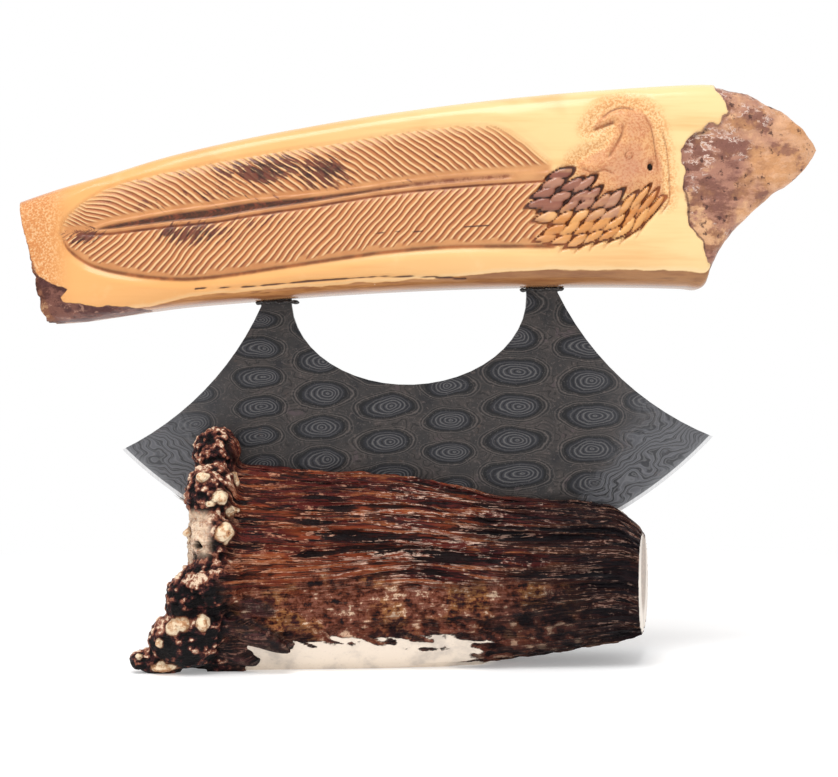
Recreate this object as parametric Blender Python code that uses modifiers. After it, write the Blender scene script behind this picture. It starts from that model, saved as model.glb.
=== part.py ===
"""Ulu knife standing in a saw kerf along a shed antler.

A crescent blade with two tangs is bedded in a carved tusk handle, and the
knife lifts straight up out of its stand. Metres, +Z up. The origin lies on
the floor, in the plane of the blade. The knife is drawn in a frame of its
own, whose centre is the centre of the cutting edge's arc.
"""

from math import acos, asin, copysign, cos, pi, radians, sin, sqrt

import bmesh
import bpy
from mathutils import Matrix, Vector

# Clearances
REST_GAP = 0.0003
BED_GAP = 0.0003
CUT_OVERRUN = 0.004
MERGE_DISTANCE = 0.00001

# Seat of the knife in the stand
KNIFE_X = -0.0010
KNIFE_LEAN = radians(1.27)
KERF_FLOOR_HEIGHT = 0.0234
KERF_SIDE_GAP = 0.0004

# Blade
BLADE_THICKNESS = 0.0026
BLADE_SPAN = 0.1524
EDGE_RADIUS = 0.1063
EDGE_LAND = 0.00024
EDGE_BEVEL_WIDTH = 0.0013
EDGE_BEVEL_THICKNESS = 0.0011
GRIND_WIDTH = 0.0120
LEFT_HOLLOW_RADIUS = 0.0748
RIGHT_HOLLOW_RADIUS = 0.0754
LEFT_NECK_WIDTH = 0.0078
RIGHT_NECK_WIDTH = 0.0080
HAND_ARCH_HALF_WIDTH = 0.0303
HAND_ARCH_DEPTH = 0.0220
HAND_ARCH_SHIFT = -0.0014
HAND_ARCH_TOP = 0.0693
TANG_DEPTH = 0.0220

# Handle
HANDLE_LENGTH = 0.2033
HANDLE_RISE = 0.0575
HANDLE_THICKNESS = 0.0260
HANDLE_LEFT_REACH = 0.0990
HANDLE_ABOVE_EDGE = 0.0649
LOWER_TROUGH_DEPTH = 0.0010
UPPER_TROUGH_DEPTH = 0.0006
TROUGH_WIDTH = 0.0034
CARVED_MARGIN_WIDTH = 0.0005
VANE_DEPTH = 0.0008
VANE_CROWN_HEIGHT = 0.0004
VANE_ROUND_WIDTH = 0.0030
SHAFT_HEIGHT = 0.0005
SHAFT_HALF_WIDTH = 0.0014
SHAFT_SLOPE_WIDTH = 0.0010
HEAD_FIELD_DEPTH = 0.0009
HEAD_FIELD_BORDER = 0.0040
HEAD_HEIGHT = 0.0010
HEAD_ROUND_WIDTH = 0.0026
PLUMAGE_HEIGHT = 0.0007
BARK_STEP_DEPTH = 0.0009
BARK_STEP_WIDTH = 0.0008

# Beddings
BED_WALL = 0.0008
COLLAR_DEPTH = 0.0007
COLLAR_BORDER = 0.0006

# Stand
BEAM_LEFT = -0.0520
BEAM_LENGTH = 0.1200
BEAM_HEIGHT = 0.0560
BEAM_WIDTH = 0.0520
RIDGE_HEIGHT = 0.0012
SWELL_HEIGHT = 0.0007
END_CUT_X = 0.0590
END_CUT_ANGLE = radians(11.0)
FACET_LEFT_X = -0.0420
FACET_LEFT_Y = -0.0165
FACET_RIGHT_X = 0.0240
FACET_RIGHT_Y = -0.0110
FACET_LEAN = radians(40.0)
BURR_LEAD = 0.0020
BURR_WIDTH = 0.0150
BURR_RADIUS = 0.0300
BURR_CENTRE_HEIGHT = 0.0285
SHED_FACE_BULGE = 0.0020

# Fineness of the meshes
EDGE_STEPS = 64
HOLLOW_STEPS = 12
ARCH_STEPS = 24
GRIND_SEGMENTS = 256
HANDLE_COLUMNS = 84
SIDE_ROWS = 4
BACK_ROWS = 7
BEAM_RINGS = 20
BEAM_SIDES = 80

EDGE_CENTRE_HEIGHT = KERF_FLOOR_HEIGHT + REST_GAP + EDGE_RADIUS
KERF_WIDTH = BLADE_THICKNESS + 2 * KERF_SIDE_GAP
KERF_RADIUS = EDGE_RADIUS + REST_GAP
BURR_X = BEAM_LEFT - BURR_LEAD


def clear_scene():
    for old in list(bpy.data.objects):
        bpy.data.objects.remove(old, do_unlink=True)


def new_collection(name):
    made = bpy.data.collections.new(name)
    bpy.context.scene.collection.children.link(made)
    return made


def material(name, colour, roughness, metallic):
    made = bpy.data.materials.new(name)
    made.use_nodes = True
    shader = made.node_tree.nodes["Principled BSDF"]
    shader.inputs["Base Color"].default_value = (*colour, 1)
    shader.inputs["Roughness"].default_value = roughness
    shader.inputs["Metallic"].default_value = metallic
    made.diffuse_color = (*colour, 1)
    return made


def add_object(name, mesh, collection, look=None, parent=None):
    made = bpy.data.objects.new(name, mesh)
    collection.objects.link(made)
    made.parent = parent
    if look:
        mesh.materials.append(look)
    return made


def mark_cutter(cutter):
    cutter.hide_render = True
    cutter.display_type = "WIRE"


def boolean(target, cutter, operation="DIFFERENCE"):
    step = target.modifiers.new(cutter.name, "BOOLEAN")
    step.operation = operation
    step.solver = "EXACT"
    step.object = cutter


def box(name, low, high, collection, parent=None):
    """A box from its lowest to its highest corner."""
    shape = bmesh.new()
    bmesh.ops.create_cube(shape, size=1)
    size = Vector(high) - Vector(low)
    centre = (Vector(high) + Vector(low)) / 2
    bmesh.ops.scale(shape, vec=size, verts=shape.verts)
    bmesh.ops.translate(shape, vec=centre, verts=shape.verts)
    mesh = bpy.data.meshes.new(name)
    shape.to_mesh(mesh)
    shape.free()
    return add_object(name, mesh, collection, parent=parent)


def loft(name, rings, collection, look=None, parent=None):
    """A closed skin through rings of as many points each, flat at both ends."""
    shape = bmesh.new()
    rows = [[shape.verts.new(point) for point in ring] for ring in rings]
    count = len(rows[0])
    for row, following in zip(rows, rows[1:]):
        for i in range(count):
            j = (i + 1) % count
            shape.faces.new((row[i], row[j], following[j], following[i]))
    shape.faces.new(list(reversed(rows[0])))
    shape.faces.new(rows[-1])
    bmesh.ops.recalc_face_normals(shape, faces=shape.faces)
    mesh = bpy.data.meshes.new(name)
    shape.to_mesh(mesh)
    shape.free()
    made = add_object(name, mesh, collection, look, parent)
    mesh.shade_smooth()
    mesh.set_sharp_from_angle(angle=radians(40))
    return made


def curve_through(rows, place):
    """A smooth value between the rows of a table, at a place from 0 to 1."""
    spans = len(rows) - 1
    step = min(int(place * spans), spans - 1)
    t = place * spans - step
    near = [rows[min(max(step + k, 0), spans)] for k in (-1, 0, 1, 2)]
    values = []
    for a, b, c, d in zip(*near):
        bend = (2 * a - 5 * b + 4 * c - d) * t * t + (3 * b - a - 3 * c + d) * t ** 3
        values.append(b + ((c - a) * t + bend) / 2)
    return values


def smooth_step(low, high, value):
    t = min(max((value - low) / (high - low), 0), 1)
    return t * t * (3 - 2 * t)


# Handle

# Top edge and bottom edge of the handle from its left end to its right tip:
# shares of HANDLE_LENGTH and HANDLE_RISE, and a share of HANDLE_THICKNESS.
handle_shares = [
    (-0.003, 0.545, 0.026, 0.000, 0.86),
    (0.045, 0.597, 0.066, 0.006, 0.93),
    (0.110, 0.657, 0.121, 0.030, 0.97),
    (0.185, 0.730, 0.192, 0.060, 1.00),
    (0.273, 0.796, 0.276, 0.079, 1.00),
    (0.361, 0.848, 0.359, 0.096, 1.00),
    (0.449, 0.893, 0.443, 0.108, 1.00),
    (0.537, 0.929, 0.528, 0.115, 1.00),
    (0.626, 0.958, 0.617, 0.116, 1.00),
    (0.714, 0.979, 0.704, 0.113, 1.00),
    (0.789, 0.991, 0.776, 0.106, 1.00),
    (0.842, 0.996, 0.824, 0.098, 1.00),
    (0.868, 0.993, 0.847, 0.094, 1.00),
    (0.886, 0.982, 0.857, 0.158, 0.99),
    (0.904, 0.965, 0.868, 0.235, 0.96),
    (0.922, 0.938, 0.884, 0.313, 0.92),
    (0.941, 0.905, 0.908, 0.395, 0.86),
    (0.960, 0.868, 0.937, 0.482, 0.78),
    (0.978, 0.815, 0.966, 0.545, 0.66),
    (0.991, 0.760, 0.980, 0.590, 0.52),
    (1.000, 0.712, 0.990, 0.645, 0.38),
]
FACE_ROUNDING = 5.0
BACK_ROUNDING = 3.4
FACE_REACH_SHARE = 0.95
BACK_REACH_SHARE = 0.90
UNDERSIDE_STEPS = 200

# Lines of the carving on the handle's face: place along HANDLE_LENGTH from the
# left end and height above its foot as a share of HANDLE_RISE. First the
# feather's upper margin, shaft and lower margin.
feather_top_shares = [
    (0.051, 0.398), (0.056, 0.452), (0.067, 0.496), (0.088, 0.548), (0.112, 0.593),
    (0.156, 0.637), (0.231, 0.683), (0.329, 0.737), (0.449, 0.793), (0.509, 0.819),
    (0.560, 0.828), (0.597, 0.814), (0.625, 0.755), (0.666, 0.637),
]
feather_shaft_shares = [
    (0.051, 0.393), (0.085, 0.398), (0.114, 0.412), (0.188, 0.445), (0.287, 0.485),
    (0.371, 0.515), (0.457, 0.555), (0.563, 0.586), (0.666, 0.602),
]
feather_foot_shares = [
    (0.051, 0.391), (0.059, 0.336), (0.073, 0.290), (0.088, 0.259), (0.106, 0.237),
    (0.125, 0.221), (0.162, 0.198), (0.207, 0.186), (0.260, 0.200), (0.305, 0.221),
    (0.384, 0.257), (0.456, 0.287), (0.530, 0.303), (0.666, 0.296),
]

# Outlines of the bird's head, of its plumage, and of the brown bark left on
# the handle's right end.
head_shares = [
    (0.709, 0.791), (0.735, 0.887), (0.753, 0.901), (0.772, 0.880), (0.790, 0.776),
    (0.799, 0.583), (0.796, 0.475), (0.768, 0.515), (0.733, 0.483), (0.700, 0.522),
    (0.691, 0.609), (0.726, 0.706), (0.739, 0.800),
]
plumage_shares = [
    (0.630, 0.320), (0.672, 0.289), (0.718, 0.303), (0.755, 0.337), (0.799, 0.442),
    (0.798, 0.543), (0.768, 0.525), (0.719, 0.506), (0.691, 0.600), (0.659, 0.647),
    (0.630, 0.633),
]
bark_shares = [
    (0.866, 1.200), (0.877, 0.856), (0.839, 0.779), (0.821, 0.687), (0.820, 0.525),
    (0.836, 0.315), (0.855, -0.200), (1.131, -0.200), (1.131, 1.200),
]

# Rows of points over the face, which follow the carved lines: how many there
# are, how near the edges the lines may come, and the room they keep.
BORDER_ROWS = 4
VANE_ROWS = 5
MARGIN_LIMIT_SHARE = 0.85
SHAFT_LIMIT_SHARE = 0.50
VANE_ROOM_SHARE = 0.30
ROW_ROOM_SHARE = 0.10
ROW_EDGE_SHARE = 0.02


def handle_station(place):
    """Middle, half height vector and half thickness at a place along the handle."""
    top_x, top_z, low_x, low_z, thick = curve_through(handle_shares, place)
    left = -HANDLE_LEFT_REACH
    foot = handle_foot()
    top = Vector((left + top_x * HANDLE_LENGTH, 0, foot + top_z * HANDLE_RISE))
    low = Vector((left + low_x * HANDLE_LENGTH, 0, foot + low_z * HANDLE_RISE))
    return (top + low) / 2, (top - low) / 2, thick * HANDLE_THICKNESS / 2


def underside_at(x):
    """Height of the handle's bottom edge above x, in the knife's frame."""
    best = None
    for i in range(UNDERSIDE_STEPS + 1):
        middle, half, _ = handle_station(i / UNDERSIDE_STEPS)
        low = middle - half
        if best is None or abs(low.x - x) < abs(best.x - x):
            best = low
    return best.z


def line_height(line, along):
    """Height share of a drawn line at a place along the handle."""
    if along <= line[0][0]:
        return line[0][1]
    for (x0, z0), (x1, z1) in zip(line, line[1:]):
        if along <= x1:
            return z0 + (z1 - z0) * (along - x0) / (x1 - x0)
    return line[-1][1]


def inside_length(outline, x, z):
    """Distance from a closed outline drawn in shares of the handle, positive inside it."""
    points = [(a * HANDLE_LENGTH, b * HANDLE_RISE) for a, b in outline]
    best = HANDLE_LENGTH
    inside = False
    for (x0, z0), (x1, z1) in zip(points, points[1:] + points[:1]):
        run = Vector((x1 - x0, z1 - z0))
        from_start = Vector((x - x0, z - z0))
        t = min(max(from_start.dot(run) / run.length_squared, 0), 1)
        best = min(best, (from_start - run * t).length)
        if (z0 > z) != (z1 > z) and x < x0 + (z - z0) / (z1 - z0) * (x1 - x0):
            inside = not inside
    return best if inside else -best


def feather_depth(x, z):
    """How far the face is cut back on and round the feather, as a length."""
    along = x / HANDLE_LENGTH
    top = line_height(feather_top_shares, along) * HANDLE_RISE
    shaft = line_height(feather_shaft_shares, along) * HANDLE_RISE
    foot = line_height(feather_foot_shares, along) * HANDLE_RISE
    first = feather_shaft_shares[0][0] * HANDLE_LENGTH
    last = feather_shaft_shares[-1][0] * HANDLE_LENGTH
    inside = min(top - z, z - foot, x - first, last - x)
    trough = UPPER_TROUGH_DEPTH if z > shaft else LOWER_TROUGH_DEPTH
    trough *= 1 - smooth_step(0, TROUGH_WIDTH, -inside)
    vane = VANE_DEPTH - VANE_CROWN_HEIGHT * smooth_step(0, VANE_ROUND_WIDTH, inside)
    on_vane = smooth_step(-CARVED_MARGIN_WIDTH, CARVED_MARGIN_WIDTH, inside)
    rib = 1 - smooth_step(SHAFT_HALF_WIDTH, SHAFT_HALF_WIDTH + SHAFT_SLOPE_WIDTH, abs(z - shaft))
    return trough + (vane - trough - SHAFT_HEIGHT * rib) * on_vane


def carving_depth(x, z):
    """How far the carved face stands behind the plain face, as a length."""
    head = inside_length(head_shares, x, z)
    plumage = inside_length(plumage_shares, x, z)
    body = max(head, plumage)
    depth = HEAD_FIELD_DEPTH * smooth_step(-HEAD_FIELD_BORDER, -CARVED_MARGIN_WIDTH, body)
    depth -= HEAD_HEIGHT * smooth_step(0, HEAD_ROUND_WIDTH, head)
    depth -= PLUMAGE_HEIGHT * smooth_step(0, CARVED_MARGIN_WIDTH, plumage)
    here = smooth_step(-CARVED_MARGIN_WIDTH, CARVED_MARGIN_WIDTH, body)
    last = feather_shaft_shares[-1][0] * HANDLE_LENGTH
    here = max(here, smooth_step(last - CARVED_MARGIN_WIDTH, last + CARVED_MARGIN_WIDTH, x))
    return feather_depth(x, z) * (1 - here) + depth * here


def half_depth(v, rounding):
    return (1 - abs(v) ** rounding) ** (1 / rounding)


def side_height(w):
    """Height share of the rounded side at a depth share, front or back."""
    return half_depth(w, FACE_ROUNDING if w < 0 else BACK_ROUNDING)


def spread(low, high, count):
    """Count steps from low up to high, without high itself."""
    return [low + (high - low) * i / count for i in range(count)]


def between(low, value, high):
    return min(max(value, low), high)


def face_rows(along, middle, half):
    """Heights of the face's rows, from -1 to 1, so that rows follow the carved lines."""
    lines = (feather_foot_shares, feather_shaft_shares, feather_top_shares)
    foot, shaft, top = [(line_height(line, along) * HANDLE_RISE + handle_foot() - middle.z) / half.z
                        for line in lines]
    shaft = between(-SHAFT_LIMIT_SHARE, shaft, SHAFT_LIMIT_SHARE)
    foot = between(-MARGIN_LIMIT_SHARE, foot, shaft - VANE_ROOM_SHARE)
    top = between(shaft + VANE_ROOM_SHARE, top, MARGIN_LIMIT_SHARE)
    rib = min(SHAFT_HALF_WIDTH / half.z, ROW_ROOM_SHARE)
    slope = min((SHAFT_HALF_WIDTH + SHAFT_SLOPE_WIDTH) / half.z, 2 * ROW_ROOM_SHARE)
    rows = spread(-FACE_REACH_SHARE, foot - ROW_EDGE_SHARE, BORDER_ROWS)
    rows += [foot - ROW_EDGE_SHARE]
    rows += spread(foot + ROW_EDGE_SHARE, shaft - slope, VANE_ROWS)
    rows += [shaft - slope, shaft - rib, shaft + rib]
    rows += spread(shaft + slope, top - ROW_EDGE_SHARE, VANE_ROWS)
    rows += [top - ROW_EDGE_SHARE]
    rows += spread(top + ROW_EDGE_SHARE, FACE_REACH_SHARE, BORDER_ROWS)
    return rows + [FACE_REACH_SHARE]


def handle_foot():
    return HANDLE_ABOVE_EDGE - EDGE_RADIUS


def bark_step(point):
    """How far the bark lies under the polished skin at a point."""
    inside = inside_length(bark_shares, point.x + HANDLE_LEFT_REACH, point.z - handle_foot())
    return BARK_STEP_DEPTH * smooth_step(-BARK_STEP_WIDTH, BARK_STEP_WIDTH, inside)


def stepped(point, v, w, rounding, half, depth):
    """The point of a section at height share v and depth share w, let in where it is bark."""
    up = half.normalized() * copysign(abs(v) ** (rounding - 1), v) / half.length
    out = Vector((0, copysign(abs(w) ** (rounding - 1), w) / depth, 0))
    return point - (up + out).normalized() * bark_step(point)


def handle_ring(place):
    """One section of the handle: flat carved face, round sides, fuller back."""
    middle, half, depth = handle_station(place)
    along = (middle.x + HANDLE_LEFT_REACH) / HANDLE_LENGTH
    ring = []
    for v in face_rows(along, middle, half):
        w = -half_depth(v, FACE_ROUNDING)
        point = middle + half * v
        cut = carving_depth(point.x + HANDLE_LEFT_REACH, point.z - handle_foot())
        point.y = depth * w + cut
        ring.append(stepped(point, v, w, FACE_ROUNDING, half, depth))
    front = half_depth(FACE_REACH_SHARE, FACE_ROUNDING)
    rear = half_depth(BACK_REACH_SHARE, BACK_ROUNDING)
    across = [(front + rear) * (i + 1) / (SIDE_ROWS + 1) - front for i in range(SIDE_ROWS)]
    for w in across:
        rounding = FACE_ROUNDING if w < 0 else BACK_ROUNDING
        point = middle + half * side_height(w) + Vector((0, depth * w, 0))
        ring.append(stepped(point, side_height(w), w, rounding, half, depth))
    for i in range(BACK_ROWS + 1):
        v = BACK_REACH_SHARE * (1 - 2 * i / BACK_ROWS)
        w = half_depth(v, BACK_ROUNDING)
        point = middle + half * v + Vector((0, depth * w, 0))
        ring.append(stepped(point, v, w, BACK_ROUNDING, half, depth))
    for w in reversed(across):
        rounding = FACE_ROUNDING if w < 0 else BACK_ROUNDING
        point = middle - half * side_height(w) + Vector((0, depth * w, 0))
        ring.append(stepped(point, -side_height(w), w, rounding, half, depth))
    return ring


def build_handle(collection, look, knife):
    rings = [handle_ring(i / HANDLE_COLUMNS) for i in range(HANDLE_COLUMNS + 1)]
    return loft("handle", rings, collection, look, knife)


# Blade

def neck_line(low_x, high_x):
    """Height where a tang's straight part starts, just below its collar."""
    under = min(underside_at(low_x), underside_at(high_x))
    return under - COLLAR_DEPTH - 2 * BED_GAP


def arch_half_width(height):
    """Half width of the hand arch at a height in the knife's frame."""
    below = min(height - arch_centre_height(), 0)
    return HAND_ARCH_HALF_WIDTH * sqrt(max(1 - (below / HAND_ARCH_DEPTH) ** 2, 0))


def arch_centre_height():
    return HAND_ARCH_TOP - EDGE_RADIUS


def tang_sides():
    """Inner side, outer side and neck height of the left and the right tang."""
    sides = []
    for sign, width in ((-1, LEFT_NECK_WIDTH), (1, RIGHT_NECK_WIDTH)):
        inner = HAND_ARCH_SHIFT + sign * HAND_ARCH_HALF_WIDTH
        outer = inner + sign * width
        neck = neck_line(min(inner, outer), max(inner, outer))
        inner = HAND_ARCH_SHIFT + sign * arch_half_width(neck)
        sides.append((inner, inner + sign * width, neck))
    return sides


def hollow(tip, shoulder, radius, sign):
    """Points on the hollow side from the tip up to the shoulder of the tang."""
    chord = shoulder - tip
    middle = (shoulder + tip) / 2
    away = Vector((chord.y, -chord.x)) * sign
    away.normalize()
    rise = sqrt(max(radius ** 2 - (chord.length / 2) ** 2, 0))
    centre = middle + away * rise
    start = tip - centre
    sweep = -2 * asin(min(chord.length / 2 / radius, 1)) * sign
    points = []
    for i in range(HOLLOW_STEPS + 1):
        turned = Matrix.Rotation(sweep * i / HOLLOW_STEPS, 2) @ start
        points.append(centre + turned)
    return points


def blade_outline():
    """Outline of the blade, from the left tip along the edge and back over the top."""
    half_angle = asin(BLADE_SPAN / 2 / EDGE_RADIUS)
    rim = EDGE_RADIUS + CUT_OVERRUN
    outline = []
    for i in range(EDGE_STEPS + 1):
        angle = half_angle * (2 * i / EDGE_STEPS - 1)
        outline.append(Vector((rim * sin(angle), -rim * cos(angle))))
    left_tip = Vector((-sin(half_angle), -cos(half_angle))) * EDGE_RADIUS
    right_tip = Vector((sin(half_angle), -cos(half_angle))) * EDGE_RADIUS
    (left_in, left_out, left_neck), (right_in, right_out, right_neck) = tang_sides()
    outline += hollow(right_tip, Vector((right_out, right_neck)), RIGHT_HOLLOW_RADIUS, 1)
    left_top = left_neck + TANG_DEPTH
    right_top = right_neck + TANG_DEPTH
    outline += [Vector((right_out, right_top)), Vector((right_in, right_top))]
    centre = arch_centre_height()
    arch_from = acos((right_in - HAND_ARCH_SHIFT) / HAND_ARCH_HALF_WIDTH)
    arch_to = acos((left_in - HAND_ARCH_SHIFT) / HAND_ARCH_HALF_WIDTH)
    if right_neck > centre:
        outline.append(Vector((right_in, right_neck)))
    for i in range(ARCH_STEPS + 1):
        angle = arch_from + (arch_to - arch_from) * i / ARCH_STEPS
        x = HAND_ARCH_SHIFT + HAND_ARCH_HALF_WIDTH * cos(angle)
        outline.append(Vector((x, centre - HAND_ARCH_DEPTH * sin(angle))))
    if left_neck > centre:
        outline.append(Vector((left_in, left_neck)))
    outline += [Vector((left_in, left_top)), Vector((left_out, left_top))]
    left_shoulder = Vector((left_out, left_neck))
    outline += reversed(hollow(left_tip, left_shoulder, LEFT_HOLLOW_RADIUS, -1))
    return outline


def flat_plate(name, outline, thickness, collection, look, parent):
    """A plate cut to an outline, standing in the XZ plane."""
    curve = bpy.data.curves.new(name + "_outline", "CURVE")
    curve.dimensions = "2D"
    curve.fill_mode = "BOTH"
    curve.extrude = thickness / 2
    spline = curve.splines.new("POLY")
    spline.points.add(len(outline) - 1)
    for target, point in zip(spline.points, outline):
        target.co = (point.x, point.y, 0, 1)
    spline.use_cyclic_u = True
    drawn = bpy.data.objects.new(name + "_outline", curve)
    collection.objects.link(drawn)
    drawn.rotation_euler = (radians(90), 0, 0)
    bpy.context.view_layer.update()
    evaluated = drawn.evaluated_get(bpy.context.evaluated_depsgraph_get())
    mesh = bpy.data.meshes.new_from_object(evaluated)
    mesh.transform(drawn.matrix_world)
    bpy.data.objects.remove(drawn, do_unlink=True)
    shape = bmesh.new()
    shape.from_mesh(mesh)
    bmesh.ops.remove_doubles(shape, verts=shape.verts, dist=MERGE_DISTANCE)
    bmesh.ops.recalc_face_normals(shape, faces=shape.faces)
    shape.to_mesh(mesh)
    shape.free()
    mesh.name = name
    return add_object(name, mesh, collection, look, parent)


def grind_disc(cutters, knife):
    """A turned disc, thin at its rim, whose flanks are the ground faces of the edge."""
    half_blade = BLADE_THICKNESS / 2
    half_bevel = EDGE_BEVEL_THICKNESS / 2
    slope = (GRIND_WIDTH - EDGE_BEVEL_WIDTH) / (half_blade - half_bevel)
    inner = EDGE_RADIUS - GRIND_WIDTH - slope * REST_GAP
    half_disc = half_blade + REST_GAP
    outer = EDGE_RADIUS - EDGE_BEVEL_WIDTH
    half = [(inner, half_disc), (outer, half_bevel), (EDGE_RADIUS, EDGE_LAND / 2)]
    profile = [(0, half_disc), *half, *[(r, -z) for r, z in reversed(half)], (0, -half_disc)]
    mesh = bpy.data.meshes.new("grind_disc")
    points = [(r, 0, z) for r, z in profile]
    mesh.from_pydata(points, [(i, i + 1) for i in range(len(points) - 1)], [])
    disc = add_object("grind_disc", mesh, cutters, parent=knife)
    turn = disc.modifiers.new("turn", "SCREW")
    turn.steps = GRIND_SEGMENTS
    turn.render_steps = GRIND_SEGMENTS
    turn.use_merge_vertices = True
    turn.merge_threshold = MERGE_DISTANCE
    turn.use_normal_calculate = True
    disc.rotation_euler = (radians(90), 0, 0)
    mark_cutter(disc)
    return disc


def build_blade(collection, cutters, look, knife):
    plate = flat_plate("blade", blade_outline(), BLADE_THICKNESS, collection, look, knife)
    boolean(plate, grind_disc(cutters, knife), "INTERSECT")
    return plate


# Beddings

def tang_box(name, side, grow, low, high, collection, knife):
    """A box round a tang, larger than it by grow on its sides."""
    inner, outer, _ = side
    half = BLADE_THICKNESS / 2 + grow
    near = min(inner, outer) - grow
    far = max(inner, outer) + grow
    return box(name, (near, -half, low), (far, half, high), collection, knife)


def build_bedding(name, side, handle, collection, cutters, look, knife):
    """A sleeve of set resin round a tang, with the bead that was pressed out of the slot."""
    _, _, neck = side
    tang_top = neck + TANG_DEPTH
    sleeve_grow = BED_GAP + BED_WALL
    slot_grow = sleeve_grow + BED_GAP
    collar_low = neck + BED_GAP
    slot = tang_box(name + "_slot", side, slot_grow, neck - CUT_OVERRUN, tang_top + slot_grow,
                    cutters, knife)
    room = tang_box(name + "_room", side, BED_GAP, neck - CUT_OVERRUN, tang_top + BED_GAP,
                    cutters, knife)
    sleeve = tang_box(name + "_sleeve", side, sleeve_grow, collar_low, tang_top + sleeve_grow,
                      cutters, knife)
    under = bpy.data.objects.new(name + "_underside", handle.data.copy())
    cutters.objects.link(under)
    under.parent = knife
    under.location = (0, 0, -BED_GAP)
    collar_top = collar_low + COLLAR_DEPTH + COLLAR_BORDER
    collar = tang_box(name, side, slot_grow + COLLAR_BORDER, collar_low, collar_top,
                      collection, knife)
    collar.data.materials.append(look)
    for cutter in (slot, room, sleeve, under):
        mark_cutter(cutter)
    boolean(collar, under)
    boolean(collar, sleeve, "UNION")
    boolean(collar, room)
    boolean(handle, slot)
    return collar


# Stand

# Sections of the antler's beam from the burr to the sawn end: place along it
# as a share of BEAM_LENGTH, top and bottom heights as shares of BEAM_HEIGHT,
# and width as a share of BEAM_WIDTH.
beam_shares = [
    (0.00, 0.935, -0.170, 1.00),
    (0.10, 0.915, -0.145, 0.98),
    (0.22, 0.890, -0.115, 0.94),
    (0.34, 0.877, -0.085, 0.90),
    (0.43, 0.858, -0.060, 0.87),
    (0.52, 0.815, -0.035, 0.84),
    (0.61, 0.770, 0.000, 0.81),
    (0.72, 0.748, 0.030, 0.78),
    (0.80, 0.737, 0.060, 0.76),
    (0.86, 0.714, 0.085, 0.75),
    (0.90, 0.650, 0.105, 0.73),
    (0.94, 0.560, 0.135, 0.70),
    (1.00, 0.480, 0.160, 0.66),
]
BEAM_ROUNDING = 2.3

# Heights of the ridges that run along the beam, one after another round it,
# as shares of RIDGE_HEIGHT, and the slow swells under them.
ridge_shares = (1.0, 0.5, 0.8, 0.35, 1.1, 0.6, 0.9, 0.4)
SWELL_COUNT = 3
SWELL_TWIST = 5

# Lobes of the burr: place across BURR_WIDTH, angle from the top towards the
# front, distance out as a share of BURR_RADIUS, then half sizes across, round
# and out from the ring as shares of it.
burr_shares = [
    (0.75, 17, 0.88, 0.22, 0.25, 0.24),
    (0.75, 50, 0.80, 0.24, 0.27, 0.26),
    (1.08, 74, 0.85, 0.10, 0.10, 0.12),
    (0.80, 78, 0.78, 0.20, 0.24, 0.20),
    (0.80, 104, 0.84, 0.30, 0.24, 0.26),
    (0.35, 112, 0.86, 0.18, 0.22, 0.24),
    (0.35, 133, 0.97, 0.33, 0.27, 0.26),
    (-0.08, 143, 1.08, 0.22, 0.15, 0.15),
    (-0.42, 140, 1.10, 0.10, 0.08, 0.10),
    (0.60, 126, 0.88, 0.28, 0.26, 0.28),
    (0.60, 160, 0.80, 0.27, 0.34, 0.32),
    (0.65, 192, 0.76, 0.25, 0.34, 0.30),
    (0.50, 222, 0.88, 0.31, 0.34, 0.31),
    (0.65, 250, 0.84, 0.30, 0.30, 0.31),
    (0.50, 276, 0.82, 0.28, 0.32, 0.29),
    (0.75, 302, 0.82, 0.27, 0.30, 0.31),
    (0.65, 324, 0.82, 0.25, 0.26, 0.29),
    (0.78, 344, 0.84, 0.24, 0.26, 0.25),
]

# Roots that run from the burr along the lower front and back of the beam:
# start and end places and heights as shares of BEAM_LENGTH and BEAM_HEIGHT,
# then distance out and thickness as shares of BEAM_WIDTH.
root_shares = [
    (0.00, 0.18, 0.27, 0.10, -0.46, 0.11),
    (-0.05, 0.10, 0.24, 0.03, -0.40, 0.10),
    (0.00, 0.16, 0.24, 0.08, 0.42, 0.11),
]


def beam_ring(place):
    share, top, low, width = curve_through(beam_shares, place)
    x = BEAM_LEFT + share * BEAM_LENGTH
    middle = (top + low) / 2 * BEAM_HEIGHT
    half_height = (top - low) / 2 * BEAM_HEIGHT
    half_width = width / 2 * BEAM_WIDTH
    ring = []
    for i in range(BEAM_SIDES):
        angle = 2 * pi * i / BEAM_SIDES
        across = abs(cos(angle)) ** (2 / BEAM_ROUNDING) * (1 if cos(angle) > 0 else -1)
        up = abs(sin(angle)) ** (2 / BEAM_ROUNDING) * (1 if sin(angle) > 0 else -1)
        swell = SWELL_HEIGHT * sin(SWELL_COUNT * angle + SWELL_TWIST * place)
        ridge = RIDGE_HEIGHT * ridge_shares[i // 2 % len(ridge_shares)] * cos(i * pi)
        ridge = (ridge + swell) / 2
        y = across * (half_width + ridge)
        ring.append(Vector((x, y, middle + up * (half_height + ridge))))
    return ring


LOBE_SIDES = 14
LOBE_ROWS = 8
SHED_WIDTH_SHARE = 0.86
SHED_HEIGHT_SHARE = 0.90


def lobe(name, centre, sizes, turn, axis, cutters):
    """A rounded lump with three half sizes, turned about an axis."""
    shape = bmesh.new()
    bmesh.ops.create_uvsphere(shape, u_segments=LOBE_SIDES, v_segments=LOBE_ROWS, radius=1)
    bmesh.ops.scale(shape, vec=sizes, verts=shape.verts)
    place = Matrix.Translation(centre) @ Matrix.Rotation(turn, 4, axis)
    bmesh.ops.transform(shape, matrix=place, verts=shape.verts)
    mesh = bpy.data.meshes.new(name)
    shape.to_mesh(mesh)
    shape.free()
    made = add_object(name, mesh, cutters)
    mark_cutter(made)
    return made


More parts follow.
